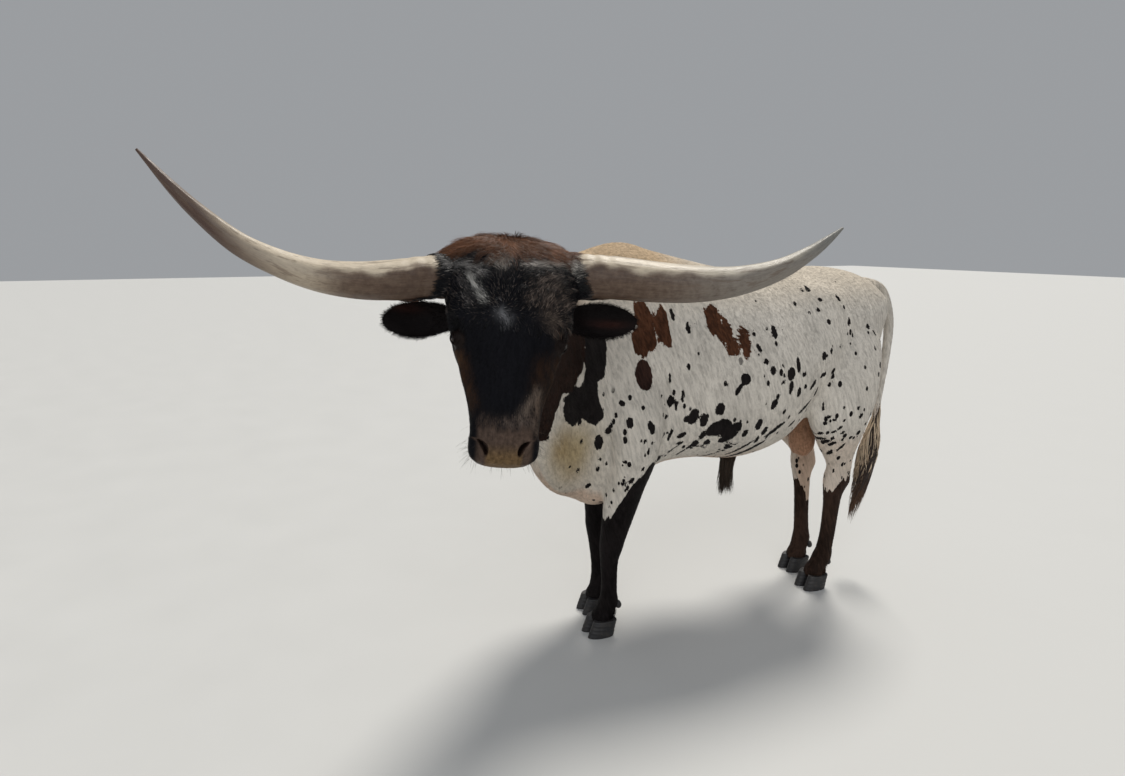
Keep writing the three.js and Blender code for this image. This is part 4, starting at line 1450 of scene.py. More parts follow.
def between(value, low, high, soft):
    return ease(value, low - soft, low + soft) * ease(value, high + soft, high - soft)


def head_share(surface):
    """How much of the short head coat grows on each triangle: none on the nose, lids and horns."""
    face = to_head(surface.middle)
    x, y, z = np.abs(face[:, 0]), face[:, 1], face[:, 2]
    plate = ease(y + 0.16 * x, 505, 538) * ease(x, 72, 62) * (z > -24)
    lids = near_eyes(surface.middle, 27)
    lips = (y > 555) & (z > -75)
    return surface.among(*FACE_PARTS) * (1 - plate) * ~lids * np.where(lips, 0.5, 1.0)


def joined(*plots):
    return {key: np.concatenate([plot[key] for plot in plots]) for key in plots[0]}


class Value:
    """A socket in a material. Arithmetic on it adds Math nodes, or Vector Math for vectors and colours."""

    def __init__(self, graph, socket):
        self.graph, self.socket = graph, socket

    def is_vector(self):
        return self.socket.type in ("VECTOR", "RGBA")

    def combined(self, operation, other, swap=False):
        pair = (other, self) if swap else (self, other)
        if any(isinstance(p, Value) and p.is_vector() for p in pair):
            spread = [p if isinstance(p, Value) or hasattr(p, "__len__") else (p, p, p) for p in pair]
            return self.graph.node("ShaderNodeVectorMath", {"operation": operation}, dict(enumerate(spread)))
        return self.graph.node("ShaderNodeMath", {"operation": operation}, dict(enumerate(pair)))

    def __add__(self, other):
        return self.combined("ADD", other)

    def __radd__(self, other):
        return self.combined("ADD", other, True)

    def __sub__(self, other):
        return self.combined("SUBTRACT", other)

    def __rsub__(self, other):
        return self.combined("SUBTRACT", other, True)

    def __mul__(self, other):
        return self.combined("MULTIPLY", other)

    def __rmul__(self, other):
        return self.combined("MULTIPLY", other, True)


class Graph:
    """The nodes of one material."""

    def __init__(self, name):
        self.material = bpy.data.materials.new(name)
        self.material.use_nodes = True
        self.tree = self.material.node_tree
        self.shader = self.tree.nodes["Principled BSDF"]

    def node(self, kind, settings=None, inputs=None, output=0):
        made = self.tree.nodes.new(kind)
        for name, value in (settings or {}).items():
            setattr(made, name, value)
        for name, value in (inputs or {}).items():
            self.feed(made.inputs[name], value)
        return Value(self, made.outputs[output])

    def feed(self, socket, value):
        if isinstance(value, Value):
            self.tree.links.new(value.socket, socket)
        else:
            socket.default_value = value

    def attribute(self, name, output="Fac"):
        return self.node("ShaderNodeAttribute", {"attribute_name": name}, output=output)

    def place(self):
        return self.node("ShaderNodeTexCoord", output="Object")

    def noise(self, place, scale, detail=2.0, roughness=0.5):
        sockets = {"Vector": place, "Scale": scale, "Detail": detail, "Roughness": roughness}
        return self.node("ShaderNodeTexNoise", None, sockets)

    def cells(self, place, scale, output="Distance", feature="F1"):
        sockets = {"Vector": place, "Scale": scale}
        return self.node("ShaderNodeTexVoronoi", {"feature": feature}, sockets, output)

    def step(self, value, low, high, start=0.0, end=1.0):
        sockets = {"Value": value, "From Min": low, "From Max": high, "To Min": start, "To Max": end}
        return self.node("ShaderNodeMapRange", {"interpolation_type": "SMOOTHSTEP"}, sockets)

    def mix(self, share, first, second):
        first, second = (c if isinstance(c, Value) else (*c, 1.0)[:4] for c in (first, second))
        return self.node("ShaderNodeMix", {"data_type": "RGBA"}, {0: share, 6: first, 7: second}, 2)

    def brighten(self, colour, share):
        """Colour times a number."""
        return self.node("ShaderNodeVectorMath", {"operation": "SCALE"}, {0: colour, "Scale": share})

    def channel(self, colour, k):
        return self.node("ShaderNodeSeparateColor", None, {0: colour}, k)

    def bump(self, height, distance):
        return self.node("ShaderNodeBump", None, {"Strength": 1.0, "Distance": distance, "Height": height})

    def finish(self, fixed=None, **sockets):
        """Constant values by socket name, and what varies by key."""
        for name, value in (fixed or {}).items():
            self.shader.inputs[name].default_value = value
        for name, value in sockets.items():
            self.feed(self.shader.inputs[name.replace("_", " ")], value)
        return self.material


def coat_colour(graph, root, look):
    """Ground, marks with ragged edges, and specks. It reads where a hair roots, so a tuft has one colour."""
    grain = graph.attribute("course", "Vector")
    drawn = root * (1.0, 1.0, 0.4)
    hairs = graph.noise(grain, 230.0, 2.0)
    ragged = (hairs - 0.5) * 12.0 + (graph.noise(drawn, 70.0) - 0.5) * 11.0
    inside = graph.step(graph.attribute("patch") + ragged, -0.7, 0.7)
    tall = root * (1.0, 1.0, 0.62)
    kind = graph.cells(tall, 36.0, "Color")
    size = graph.channel(kind, 1) * 0.20 + 0.13
    away = graph.cells(tall, 36.0) + (graph.noise(root, 260.0) - 0.5) * 0.07
    present = graph.step(graph.attribute("specks") - graph.channel(kind, 0), 0.0, 0.02)
    speck = graph.step(size - away, -0.015, 0.02) * present
    streaks = graph.noise(grain, 105.0, 3.0, 0.6)
    soil = graph.noise(root, 5.5, 3.0, 0.6)
    ground = graph.brighten(graph.attribute("ground", "Color"), graph.step(streaks, 0.3, 0.62, 0.74, 1.04))
    ground = graph.brighten(ground, graph.step(soil, 0.3, 0.7, 0.86, 1.03))
    white = graph.mix(speck, ground, look.black[:])
    mark_tone = graph.step(streaks + (soil - 0.5), 0.25, 0.75, 0.55, 1.5)
    mark = graph.brighten(graph.attribute("mark", "Color"), mark_tone)
    return graph.mix(inside, white, mark)


def skin_material(look):
    graph = Graph("spotted_skin")
    root = graph.attribute("root", "Vector")
    colour = coat_colour(graph, root, look)
    grain = graph.attribute("course", "Vector")
    fine = graph.noise(grain, 520.0, 3.0, 0.6)
    broad = graph.noise(grain, 110.0, 3.0, 0.55)
    soft = graph.noise(root, 9.0, 2.0)
    bare = graph.attribute("bare")
    pebbles = graph.cells(root, 300.0, feature="SMOOTH_F1")
    creases = graph.noise(root, 90.0, 3.0)
    tone = 0.74 + fine * 0.28 + broad * 0.14 + soft * 0.10
    worn = 0.15 + graph.noise(root, 85.0, 4.0, 0.65) * 1.7
    colour = graph.brighten(colour, tone * (1.0 - bare) + worn * bare)
    hair = (fine * 0.7 + broad * 1.1) * (1.0 - bare)
    height = hair + (pebbles * 0.55 + creases * 0.8) * bare
    hairy, smooth = graph.step(fine, 0.2, 0.8, 0.52, 0.72), graph.step(pebbles, 0.1, 0.6, 0.34, 0.52)
    return graph.finish(
        {"Specular IOR Level": 0.06},
        Base_Color=colour,
        Roughness=hairy * (1.0 - bare) + smooth * bare,
        Normal=graph.bump(height, 0.0011),
    )


def hair_material(name, look, roughness, shine, contrast=0.26):
    """Contrast is how much one lock differs from the next."""
    graph = Graph(name)
    colour = coat_colour(graph, graph.attribute("root", "Vector"), look)
    strand, along = graph.attribute("strand"), graph.attribute("along")
    tone = 0.94 - contrast * 0.5 + strand * contrast + along * 0.10
    colour = graph.brighten(colour, tone)
    streak = graph.noise(graph.place() * (1.0, 1.0, 0.3), 700.0, 2.0)
    colour = graph.brighten(colour, 0.86 + streak * 0.28)
    rough = graph.step(streak, 0.2, 0.8, roughness - 0.08, roughness + 0.1)
    return graph.finish(
        {"Specular IOR Level": shine},
        Base_Color=colour,
        Roughness=rough,
        Normal=graph.bump(streak, 0.0002),
    )


def switch_material():
    """Long tail hair: cream, brown and ginger locks."""
    graph = Graph("switch_hair")
    strand, along = graph.attribute("strand"), graph.attribute("along")
    tint = graph.attribute("ground", "Color")
    streak = graph.noise(graph.place() * (1.0, 1.0, 0.12), 420.0, 3.0)
    tone = 0.55 + strand * 0.5 + streak * 0.35
    ginger = graph.mix(graph.step(along, 0.55, 1.0, 0.0, 0.5), tint, (0.26, 0.12, 0.05))
    return graph.finish(
        Base_Color=graph.brighten(ginger, tone),
        Roughness=graph.step(streak, 0.2, 0.8, 0.42, 0.62),
        Normal=graph.bump(streak, 0.0003),
    )


def horn_material():
    graph = Graph("weathered_horn")
    course = graph.attribute("course", "Vector")
    streaks = graph.noise(course, 95.0, 4.0, 0.62)
    fine = graph.noise(course, 330.0, 3.0, 0.6)
    flakes = graph.noise(graph.place(), 60.0, 4.0, 0.6)
    # The stain gives blotches all over, strongest on the underside near the root, where they are partly
    # painted shade.
    stain = graph.attribute("stain")
    ground = graph.attribute("ground", "Color")
    blotch = graph.step(stain + (flakes - 0.5) * 1.2 + (streaks - 0.5) * 1.0, 0.15, 1.15)
    colour = graph.mix(blotch * 0.85, ground, (0.060, 0.032, 0.020))
    cracks = graph.step(streaks, 0.38, 0.46, 1.0, 0.0)
    colour = graph.mix(cracks * 0.5, colour, (0.12, 0.080, 0.055))
    colour = graph.brighten(colour, 0.62 + fine * 0.62)
    height = streaks * 0.9 + fine * 0.5 + flakes * 0.5
    return graph.finish(
        {"Specular IOR Level": 0.32},
        Base_Color=colour,
        Roughness=graph.step(fine, 0.2, 0.8, 0.36, 0.58),
        Normal=graph.bump(height, 0.0012),
    )


def hoof_material():
    graph = Graph("hoof_horn")
    place = graph.place()
    rings = graph.noise(place * (0.12, 0.12, 1.0), 260.0, 3.0)
    grain = graph.noise(place * (1.0, 1.0, 0.1), 420.0, 3.0)
    dust = graph.noise(place, 38.0, 3.0)
    colour = graph.mix(graph.step(dust, 0.4, 0.8, 0.0, 0.45), (0.012, 0.011, 0.012), (0.055, 0.046, 0.038))
    colour = graph.brighten(colour, 0.7 + grain * 0.5)
    return graph.finish(
        Base_Color=colour,
        Roughness=graph.step(rings, 0.2, 0.8, 0.42, 0.66),
        Normal=graph.bump(rings * 0.8 + grain * 0.5, 0.0012),
    )


def eye_material():
    """Dark brown iris round a level pupil, under a clear wet surface."""
    graph = Graph("wet_eye")
    out = graph.attribute("ground", "Color")
    place = graph.place()
    fibres = graph.noise(place, 900.0, 3.0)
    return graph.finish(
        {"Coat Roughness": 0.02, "Coat IOR": 1.36, "Coat Weight": 0.7, "Specular IOR Level": 0.3},
        Base_Color=graph.brighten(out, 0.75 + fibres * 0.5),
        Roughness=graph.step(fibres, 0.2, 0.8, 0.10, 0.18),
    )


# Pieces


def dress(piece, material, slot, *nodes):
    piece.data.materials.clear()
    piece.data.materials.append(material)
    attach(piece, "root")
    if nodes:
        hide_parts(*nodes)


def outline_of_horn(side, t, turn):
    """Points of a horn, with growth rings near its root."""
    rows = np.array(HORNS[side]) * (side, 1, 1, 1) + (0, HORN_AXIS_DOWN, 0, 0)
    centre = curve_through(rows[:, :3], t)
    radius = curve_through(rows[:, 3:], t)[:, 0] * HORN_RADIUS * 0.975
    tangent = heading(rows[:, :3], t)
    over = unit(np.cross(np.cross(tangent, [0, -1, 0.0]), tangent))
    aside = np.cross(tangent, over)
    length = t * HORN_LENGTH
    rings = 0.9 * np.sin(length / 7.5 + 1.5 * np.sin(turn)) * ease(t, 0.34, 0.08)
    waves = 1.4 * np.sin(3 * turn + length / 110) + 0.7 * np.sin(8 * turn + length / 70 + side)
    radius = radius + (rings + waves * 0.6) * ease(t, 1.0, 0.85)
    upward = np.sin(turn) * np.where(np.sin(turn) > 0, 1, 0.97)
    ring = over * upward[:, None] + aside * np.cos(turn)[:, None]
    return centre + ring * np.maximum(radius, 0.6)[:, None], length, radius


def make_horn(side, word, look):
    rings = 220
    piece = new_ball(f"horn_{word}_fine", 72, rings + 2)
    fall, t, turn = round_ball(places(piece), rings)
    points, length, radius = outline_of_horn(side, t, turn)
    for pole in np.flatnonzero((fall < 0.5) | (fall > rings + 1.5)):
        points[pole] = outline_of_horn(side, t[[pole, pole]], np.array([0, math.pi]))[0].mean(0)
    set_places(piece, from_head(points))
    face_outward(piece)
    up = np.sin(turn)
    # Painted shade: the lower side of each horn is darker, with a scalloped edge, partly the horn's own brown
    # and partly shade painted in; on the right horn most of it stops between a third and half of the way out.
    low = ease(up + 0.12 * np.sin(length / 33) + 0.08 * np.sin(length / 12.5), 0.42, -0.05)
    low *= 1 - 0.75 * ease(t, 0.34, 0.5) * (side == RIGHT)
    tip = ease(t + 0.12 * (side == RIGHT) - 0.10 * up * (side == RIGHT), 0.62, 0.93)
    ends = {RIGHT: (0.055, 0.024, 0.018), LEFT: (0.075, 0.078, 0.078)}[side]
    layers = [
        ((0.090, 0.045, 0.026), low * 0.86),
        (ends, tip * 0.94),
        ((0.27, 0.265, 0.24), ease(t, 0.25, 0.6) * 0.55 * (side == LEFT)),
    ]
    add_numbers(piece, "ground", laid(np.array(look.horn[:]), layers))
    # The stain is strongest on the underside near the root, where it deepens the painted shade.
    add_numbers(piece, "stain", low * 0.72 * ease(t, 0.75, 0.12) + 0.12)
    wide = radius * MM * 0.92
    add_numbers(piece, "course", vectors(np.cos(turn) * wide, np.sin(turn) * wide, length * MM * 0.13))
    return piece


def make_eye(side, word):
    piece = new_ball(f"eyeball_{word}", 64, 64)
    ball = places(piece)
    look = eye_axes(side)[0]
    level = np.array([0, 1.0, 0.55])
    level = unit(level - look * (level @ look))
    upright = np.cross(look, level)
    x, y, z = ball.T
    fall = np.degrees(np.arccos(np.clip(z, -1, 1)))
    radius = EYE_RADIUS + 1.3 * ease(fall, 40, 12)
    local = look * z[:, None] + level * x[:, None] + upright * y[:, None]
    set_places(piece, from_head(local * radius[:, None] + eye_centre(side)))
    pupil = ease(np.hypot(x / 0.34, y / 0.2), 1.08, 0.92)
    iris = ease(fall, 46, 40)
    rim = iris * ease(fall, 30, 40)
    layers = [((0.022, 0.009, 0.005), iris), ((0, 0, 0), 0.7 * rim), ((0.004, 0.004, 0.006), pupil)]
    add_numbers(piece, "ground", laid(np.array([0.035, 0.022, 0.017]), layers))
    face_outward(piece)
    return piece


CLAW = [  # height, how far forward, half-length and half-width as shares
    (HOOF_HEIGHT, 0, 0.88, 0.90),
    (HOOF_HEIGHT * 0.9, 1, 0.92, 0.95),
    (HOOF_HEIGHT * 0.66, 6, 0.93, 0.96),
    (HOOF_HEIGHT * 0.33, 12, 0.965, 0.995),
    (HOOF_HEIGHT * 0.05, 16.5, 0.99, 1.0),
    (0, 17, 0.975, 0.98),
]


def make_claw(name, x, y, side):
    """One claw: flat sole, growth rings down its wall, and a blunt toe."""
    middle = x + side * (CLAW_HALF_WIDTH + CLEFT_HALF)
    rows = []
    for z, forward, length, wide in CLAW:
        reach = HOOF_LENGTH / 2 * length
        rows.append((middle, y - forward, z, CLAW_HALF_WIDTH * wide, reach * 0.86, reach, 2.6, 1.9))
    piece = loft(name, rows, 64, 44, REARWARD, -UP)
    body = to_body(places(piece))
    offset = body[:, :2] - (middle, y - 10)
    height = body[:, 2]
    rings = np.sin(height / 2.3 + 0.02 * offset[:, 1]) * ease(height, 4, 12) * ease(height, 60, 48)
    body[:, :2] += unit(offset) * (0.5 * rings)[:, None]
    body[:, 2] = np.maximum(height, 0)
    set_places(piece, from_body(body))
    return piece


def make_dewclaw(x, y, side):
    piece = new_ball("dewclaw", 24, 16)
    ball = places(piece)
    ball[:, 2] = np.sign(ball[:, 2]) * np.abs(ball[:, 2]) ** 0.85
    tilt = np.array(Matrix.Rotation(math.radians(25), 3, "X"))
    set_places(piece, from_body(ball * DEWCLAW @ tilt.T + [x + side * 20, y + 56, 110]))
    return piece


def make_hooves():
    pieces = []
    for name, plan in LEGS.items():
        side = plan[0]
        x, y = leg_rows(*plan)[-1][:2]
        hoof = name.replace("leg", "hoof")
        for way, word in ((side, "outer"), (-side, "inner")):
            pieces.append((make_claw(f"{hoof}_{word}_fine", x, y, way), [f"{hoof}_{word}"]))
        dew = join([make_dewclaw(x, y, LEFT), make_dewclaw(x, y, RIGHT)], f"{name}_dewclaws")
        pieces.append((dew, []))
    for piece, _ in pieces:
        face_outward(piece)
        bpy.ops.object.shade_smooth_by_angle(angle=math.radians(50))
    return pieces


# Hair


class Work:
    """The skin's triangles, kept between one operator and the next."""

    surface = None


def skin_surface():
    if Work.surface is None:
        raise RuntimeError("the skin is made before its coat")
    return Work.surface


def thinning():
    return 1.0


def grow(name, spines, half_width, plot, look, material, slot="dark_coat", **shape):
    """One kind of hair as a finished piece."""
    dress(hair_mesh(name, spines, half_width, plot, look, **shape), material, slot)


COATS = {  # spacing, length, lift and half-width of the tufts in mm, and the seed of their dice
    "shoulder": (6.1, 13, 0.8, 0.95, 11),
    "barrel": (6.3, 13, 0.8, 0.95, 12),
    "neck": (5.8, 17, 1.1, 1.0, 21),
    "leg": (5.2, 12, 0.8, 0.9, 31),
    "face": (4.2, 9, 0.6, 0.6, 61),
    "brow": (4.2, 15, 1.4, 0.75, 62),
    "ears": (4.0, 11, 0.9, 0.7, 82),
    "tail": (5.0, 22, 1.2, 1.1, 102),
}


def short_coat(name, kind, share, look, material, slot, spread=0.15, follow=0.8, turn=0):
    """Short tufts over the triangles that have a share. Turn moves the seed on, for pieces of one kind."""
    spacing, length, lift, half_width, seed = COATS[kind]
    surface = skin_surface()
    dice = np.random.default_rng(seed + turn)
    plot = surface.plant(share / thinning(), spacing, dice)
    marks = markings(plot["root"], plot["part"], surface.names, look)
    crisp = np.maximum(bell(marks["patch"], 0, 10), 0.7 * ease(marks["specks"], 0.1, 0.5))
    spines = flat_spines(surface, plot, length * look.hair_length * (1 - 0.5 * crisp), lift, dice, spread)
    plot["seen"] = spines[:, 1]
    wide = half_width * (0.8 + 0.5 * dice.random(len(spines)))
    grow(name, spines, wide, plot, look, material, slot, thick=0.35, follow=follow)


def coat_on_trunk(look, material):
    surface = skin_surface()
    body = to_body(surface.middle)
    above_legs = surface.among(*LEGS) & (body[:, 2] > TRUNK_COAT_LOW)
    trunk = surface.among("trunk") | above_legs
    side = out_of_middle(body)
    for word, here in (("left", side > 0), ("right", side <= 0)):
        ahead = body[:, 1] < BARREL_FRONT
        for kind, place in (("shoulder", ahead), ("barrel", ~ahead)):
            short_coat(f"coat_{kind}_{word}", kind, trunk & here & place, look, material, "spotted_coat")


def coat_on_neck(look, material):
    share = skin_surface().among("neck").astype(float)
    short_coat("coat_neck", "neck", share, look, material, "spotted_coat", 0.22)


def coat_on_legs(look, material):
    """Short coat down to the hooves, and a fringe of longer hair over the coronet."""
    surface = skin_surface()
    height = to_body(surface.middle)[:, 2]
    for k, name in enumerate(LEGS):
        here = surface.among(name) & (height <= TRUNK_COAT_LOW) & (height > LEG_COAT_LOW)
        short_coat(f"coat_{name}", "leg", here, look, material, "dark_coat", turn=k)
        fringe = here & (height < CORONET_TOP)
        plot = surface.plant(fringe / thinning(), 2.6, np.random.default_rng(41 + k))
        dice = np.random.default_rng(51 + k)
        way = np.tile([0.0, 0.1, -1.0], (len(plot["root"]), 1))
        spines = long_spines(plot, way, dice.uniform(16, 30, len(way)), 0.2, 0.1, 3, 4, dice)
        grow(f"coronet_{name}", spines, 1.1, plot, look, material)


def coat_on_head(look, material):
    surface = skin_surface()
    y = to_head(surface.middle)[:, 1]
    share = head_share(surface)
    face = share * (y > FACE_COAT_TOP) * (1 + 0.6 * ease(y, 430, 540))
    short_coat("coat_face", "face", face, look, material, "dark_coat", 0.16, 0.6)
    short_coat("coat_brow", "brow", share * (y <= FACE_COAT_TOP), look, material, "dark_coat", 0.35, 0.4)


def forehead_hair(look, material, dice):
    """Shaggy hair of the forehead, lying away from the whorl."""
    surface = skin_surface()
    x, y, z = to_head(surface.middle).T
    brow = surface.among("head") * between(y, 72, 268, 20) * ease(z, 10, 40) * ease(np.abs(x), 182, 160)
    plot = surface.plant(brow / thinning(), 3.5, dice)
    ways = lie(plot["root"], plot["part"], surface.names)
    way = turned(ways, plot["outward"], dice.normal(0, 0.25, len(ways)))
    high = ease(to_head(plot["root"])[:, 1], 250, 120)
    long = dice.uniform(18, 30, len(way)) * (1 + 0.6 * high) * look.hair_length
    spines = long_spines(plot, way, long, 0.2, 0.12, 3.2, 5, dice)
    spines = clumped(spines, plot, 16, 0.6, dice)
    grow("forehead_hair", spines, dice.uniform(0.45, 0.85, len(way)), plot, look, material)


def poll_hair(look, material, dice):
    """The mop between the horns, parted to both sides."""
    surface = skin_surface()
    x, y, z = to_head(surface.middle).T
    top = surface.among("head") * ease(y, 84, 60) * (z > -90)
    plot = surface.plant(top / thinning(), 3.4, dice)
    x, y, z = to_head(plot["root"]).T
    parting = np.clip((x + 18) / 34, -2.1, 2.1)
    waves = np.sin(x / 15 + 2.2 * np.sin(z / 21)) + 0.6 * np.sin(y / 9)
    forward = vectors(parting + 0.35 * waves, 0.42 + 0.3 * waves, 0.3 - 0.2 * waves)
    forward = blend(forward, vectors(parting * 0.6, -0.2, -0.9), ease(z, -20, -70))
    forward += dice.normal(0, 0.2, forward.shape)
    way = turned(forward @ HEAD_AXES, plot["outward"], dice.normal(0, 0.2, len(forward)))
    long = np.minimum(dice.uniform(36, 72, len(way)), 26 + np.maximum(92 - y, 0) * 1.3) * look.hair_length
    long *= 1 + 0.35 * ease(np.abs(x), 90, 150)
    stray = dice.random(len(way)) < 0.04
    rise = np.where(stray, 0.5, dice.uniform(0.12, 0.32, len(way)))[:, None, None]
    spines = long_spines(plot, way, long, rise, 0.22, 4.5, 6, dice)
    spines = clumped(spines, plot, 20, 0.65, dice)
    grow("poll_hair", spines, dice.uniform(0.5, 0.95, len(way)), plot, look, material)


def on_horn(side, t, turn):
    """Points on a horn, and the way its surface faces there."""
    skin = outline_of_horn(side, t, turn)[0]
    return skin, unit(skin - outline_of_horn(side, t, turn + math.pi)[0])


def coat_on_horn_roots(look, material):
    """Locks that lie out over the root of each horn, all round it."""
    surface = skin_surface()
    dice = np.random.default_rng(75)
    count, steps = int(1900 / thinning()), 6
    s = np.linspace(0, 1, steps)[None]
    locks, facings, nearest = [], [], []
    for side in (LEFT, RIGHT):
        # Where the horn comes out of the skin, for each way round it
        turns, reach = np.meshgrid(np.linspace(-math.pi, math.pi, 25), np.linspace(0.01, 0.16, 40))
        tried = from_head(on_horn(side, reach.ravel(), turns.ravel())[0])
        landed, facing, _ = surface.nearest(tried)
        inside = (((tried - landed) * facing).sum(1) < 0).reshape(reach.shape)
        leaves = np.where(inside, reach, 0.02).max(0)
        turn = dice.uniform(-math.pi, math.pi, count)
        start = np.interp(turn, turns[0], leaves) - 0.012 + 0.036 * dice.random(count) ** 1.3
        long = dice.uniform(20, 46, count) / HORN_LENGTH
        bend = dice.normal(0, 0.10, (count, 1)) * s + 0.05 * np.sin(s * 5 + 6.3 * dice.random((count, 1)))
        t = start[:, None] + long[:, None] * s
        at, face_out = on_horn(side, t.ravel(), (turn[:, None] + bend).ravel())
        arch = np.sin(math.pi * np.minimum(s * 1.1, 1)) ** 0.8
        height = -1.2 + (3.4 + 2.6 * dice.random((count, 1))) * arch + 1.4 * s
        locks.append(from_head(at + face_out * height.reshape(-1, 1)).reshape(count, steps, 3))
        facings.append((face_out @ HEAD_AXES).reshape(count, steps, 3)[:, 0])
        nearest.append(surface.nearest(locks[-1][:, 0])[2])
    spines, nearest = np.concatenate(locks), np.concatenate(nearest)
    plot = {
        "root": spines[:, 0],
        "outward": np.concatenate(facings),
        "uv": surface.uv[nearest].mean(1),
        "part": np.full(len(spines), surface.names.index("head")),
        "chance": dice.random(len(spines)),
        "seen": surface.middle[nearest],
    }
    spines = clumped(spines, plot, 9, 0.4, dice)
    grow("horn_root_hair", spines, dice.uniform(0.6, 1.1, len(spines)), plot, look, material)


def along_ear(face, side):
    """Share of the ear's length at points in head axes, and how far below its middle line they are."""
    reach, root, tip = EARS[side]
    out = (side * face[:, 0] - EAR_ROOT) / (reach - EAR_ROOT)
    return out, face[:, 1] - (root + (tip - root) * out)


def coat_on_ears(look, material):
    """Short coat of the ears, a fringe round their edge, and hair inside the cup."""
    surface = skin_surface()
    dice = np.random.default_rng(81)
    ears = surface.among("ear_left", "ear_right").astype(float)
    short_coat("coat_ears", "ears", ears, look, material, "dark_coat", 0.2)
    face = to_head(surface.middle)
    plots, ways = [], []
    for side, word in SIDES:
        ear = surface.among(f"ear_{word}")
        out, down = along_ear(face, side)
        wide = np.interp(out, [row[0] for row in EAR_TABLE], [row[1] for row in EAR_TABLE])
        edge = ear * (np.hypot(down / wide, np.maximum(out - 0.75, 0) * 3) > 0.8)
        fringe = surface.plant(edge / thinning(), 2.9, dice)
        down = along_ear(to_head(fringe["root"]), side)[1]
        ways.append(vectors(side * 0.9, down / 42, 0.1) + dice.normal(0, 0.16, (len(down), 3)))
        cup = ear * between(out, 0.05, 0.75, 0.05) * (face[:, 2] > -64)
        inner = surface.plant(cup / thinning(), 5.2, dice)
        down = to_head(inner["root"])[:, 1] - 205
        ways.append(vectors(side * 0.8, down / 60, 0.55) + dice.normal(0, 0.2, (len(down), 3)))
        plots += [fringe, inner]
    plot, way = joined(*plots), np.concatenate(ways) @ HEAD_AXES
    spines = long_spines(plot, way, dice.uniform(7, 16, len(way)), 0.12, 0.1, 2.5, 4, dice)
    grow("ear_fringe", spines, 0.5, plot, look, material)


def whiskers(look, material, dice):
    """Stiff hairs on the lips and chin."""
    surface = skin_surface()
    face = to_head(surface.middle)
    place = (np.abs(face[:, 0]) > 62) | (face[:, 2] < -30)
    lip = surface.among("head", "jaw") * ease(face[:, 1], 505, 560) * place
    plot = surface.plant(lip / thinning() ** 0.5, 13, dice)
    way = plot["outward"] + np.array([0.1, 0.35, -0.1]) @ HEAD_AXES
    way = way + dice.normal(0, 0.18, way.shape)
    spines = long_spines(plot, way, dice.uniform(22, 46, len(way)), 0.1, 0.14, 1, 5, dice)
    grow("whiskers", spines, 0.33, plot, look, material)


LASHES, LASH_STEP = 46, 2.0  # on each upper lid, and the degrees from one to the next


def lashes(look, material, dice):
    roots, ways = [], []
    for side in (LEFT, RIGHT):
        ball, slit, lid = eye_axes(side)
        for k in range(LASHES):
            along = math.radians(LASH_STEP * (k - LASHES / 2) + dice.normal(0, 0.4))
            open_to = LID_OVER * max(1 - (math.degrees(along) / SLIT_HALF) ** 2, 0) ** 0.75
            across = math.radians(open_to + 3.5)
            level = ball * math.cos(across) * math.cos(along) + slit * math.sin(along) * math.cos(across)
            way = level + lid * math.sin(across)
            roots.append(eye_centre(side) + way * (EYE_RADIUS + 2.6))
            ways.append(way * 0.9 + lid * 0.25 + slit * math.sin(along) * 0.5 + dice.normal(0, 0.08, 3))
    count, way = len(roots), np.array(ways) @ HEAD_AXES
    plot = {
        "root": from_head(np.array(roots)),
        "outward": unit(way),
        "uv": np.full((count, 2), 0.001),
        "part": np.full(count, skin_surface().names.index("head")),
        "chance": dice.random(count),
    }
    spines = long_spines(plot, way, dice.uniform(12, 20, count), 0.0, 0.35, 0.5, 5, dice)
    grow("lashes", spines, 0.4, plot, look, material)


SWITCH = [
    (24, 850, 700, 18),
    (22, 842, 620, 40),
    (20, 828, 540, 50),
    (16, 812, 450, 44),
    (10, 790, 330, 36),
    (4, 772, 240, 22),
    (0, 766, 180, 8),
]


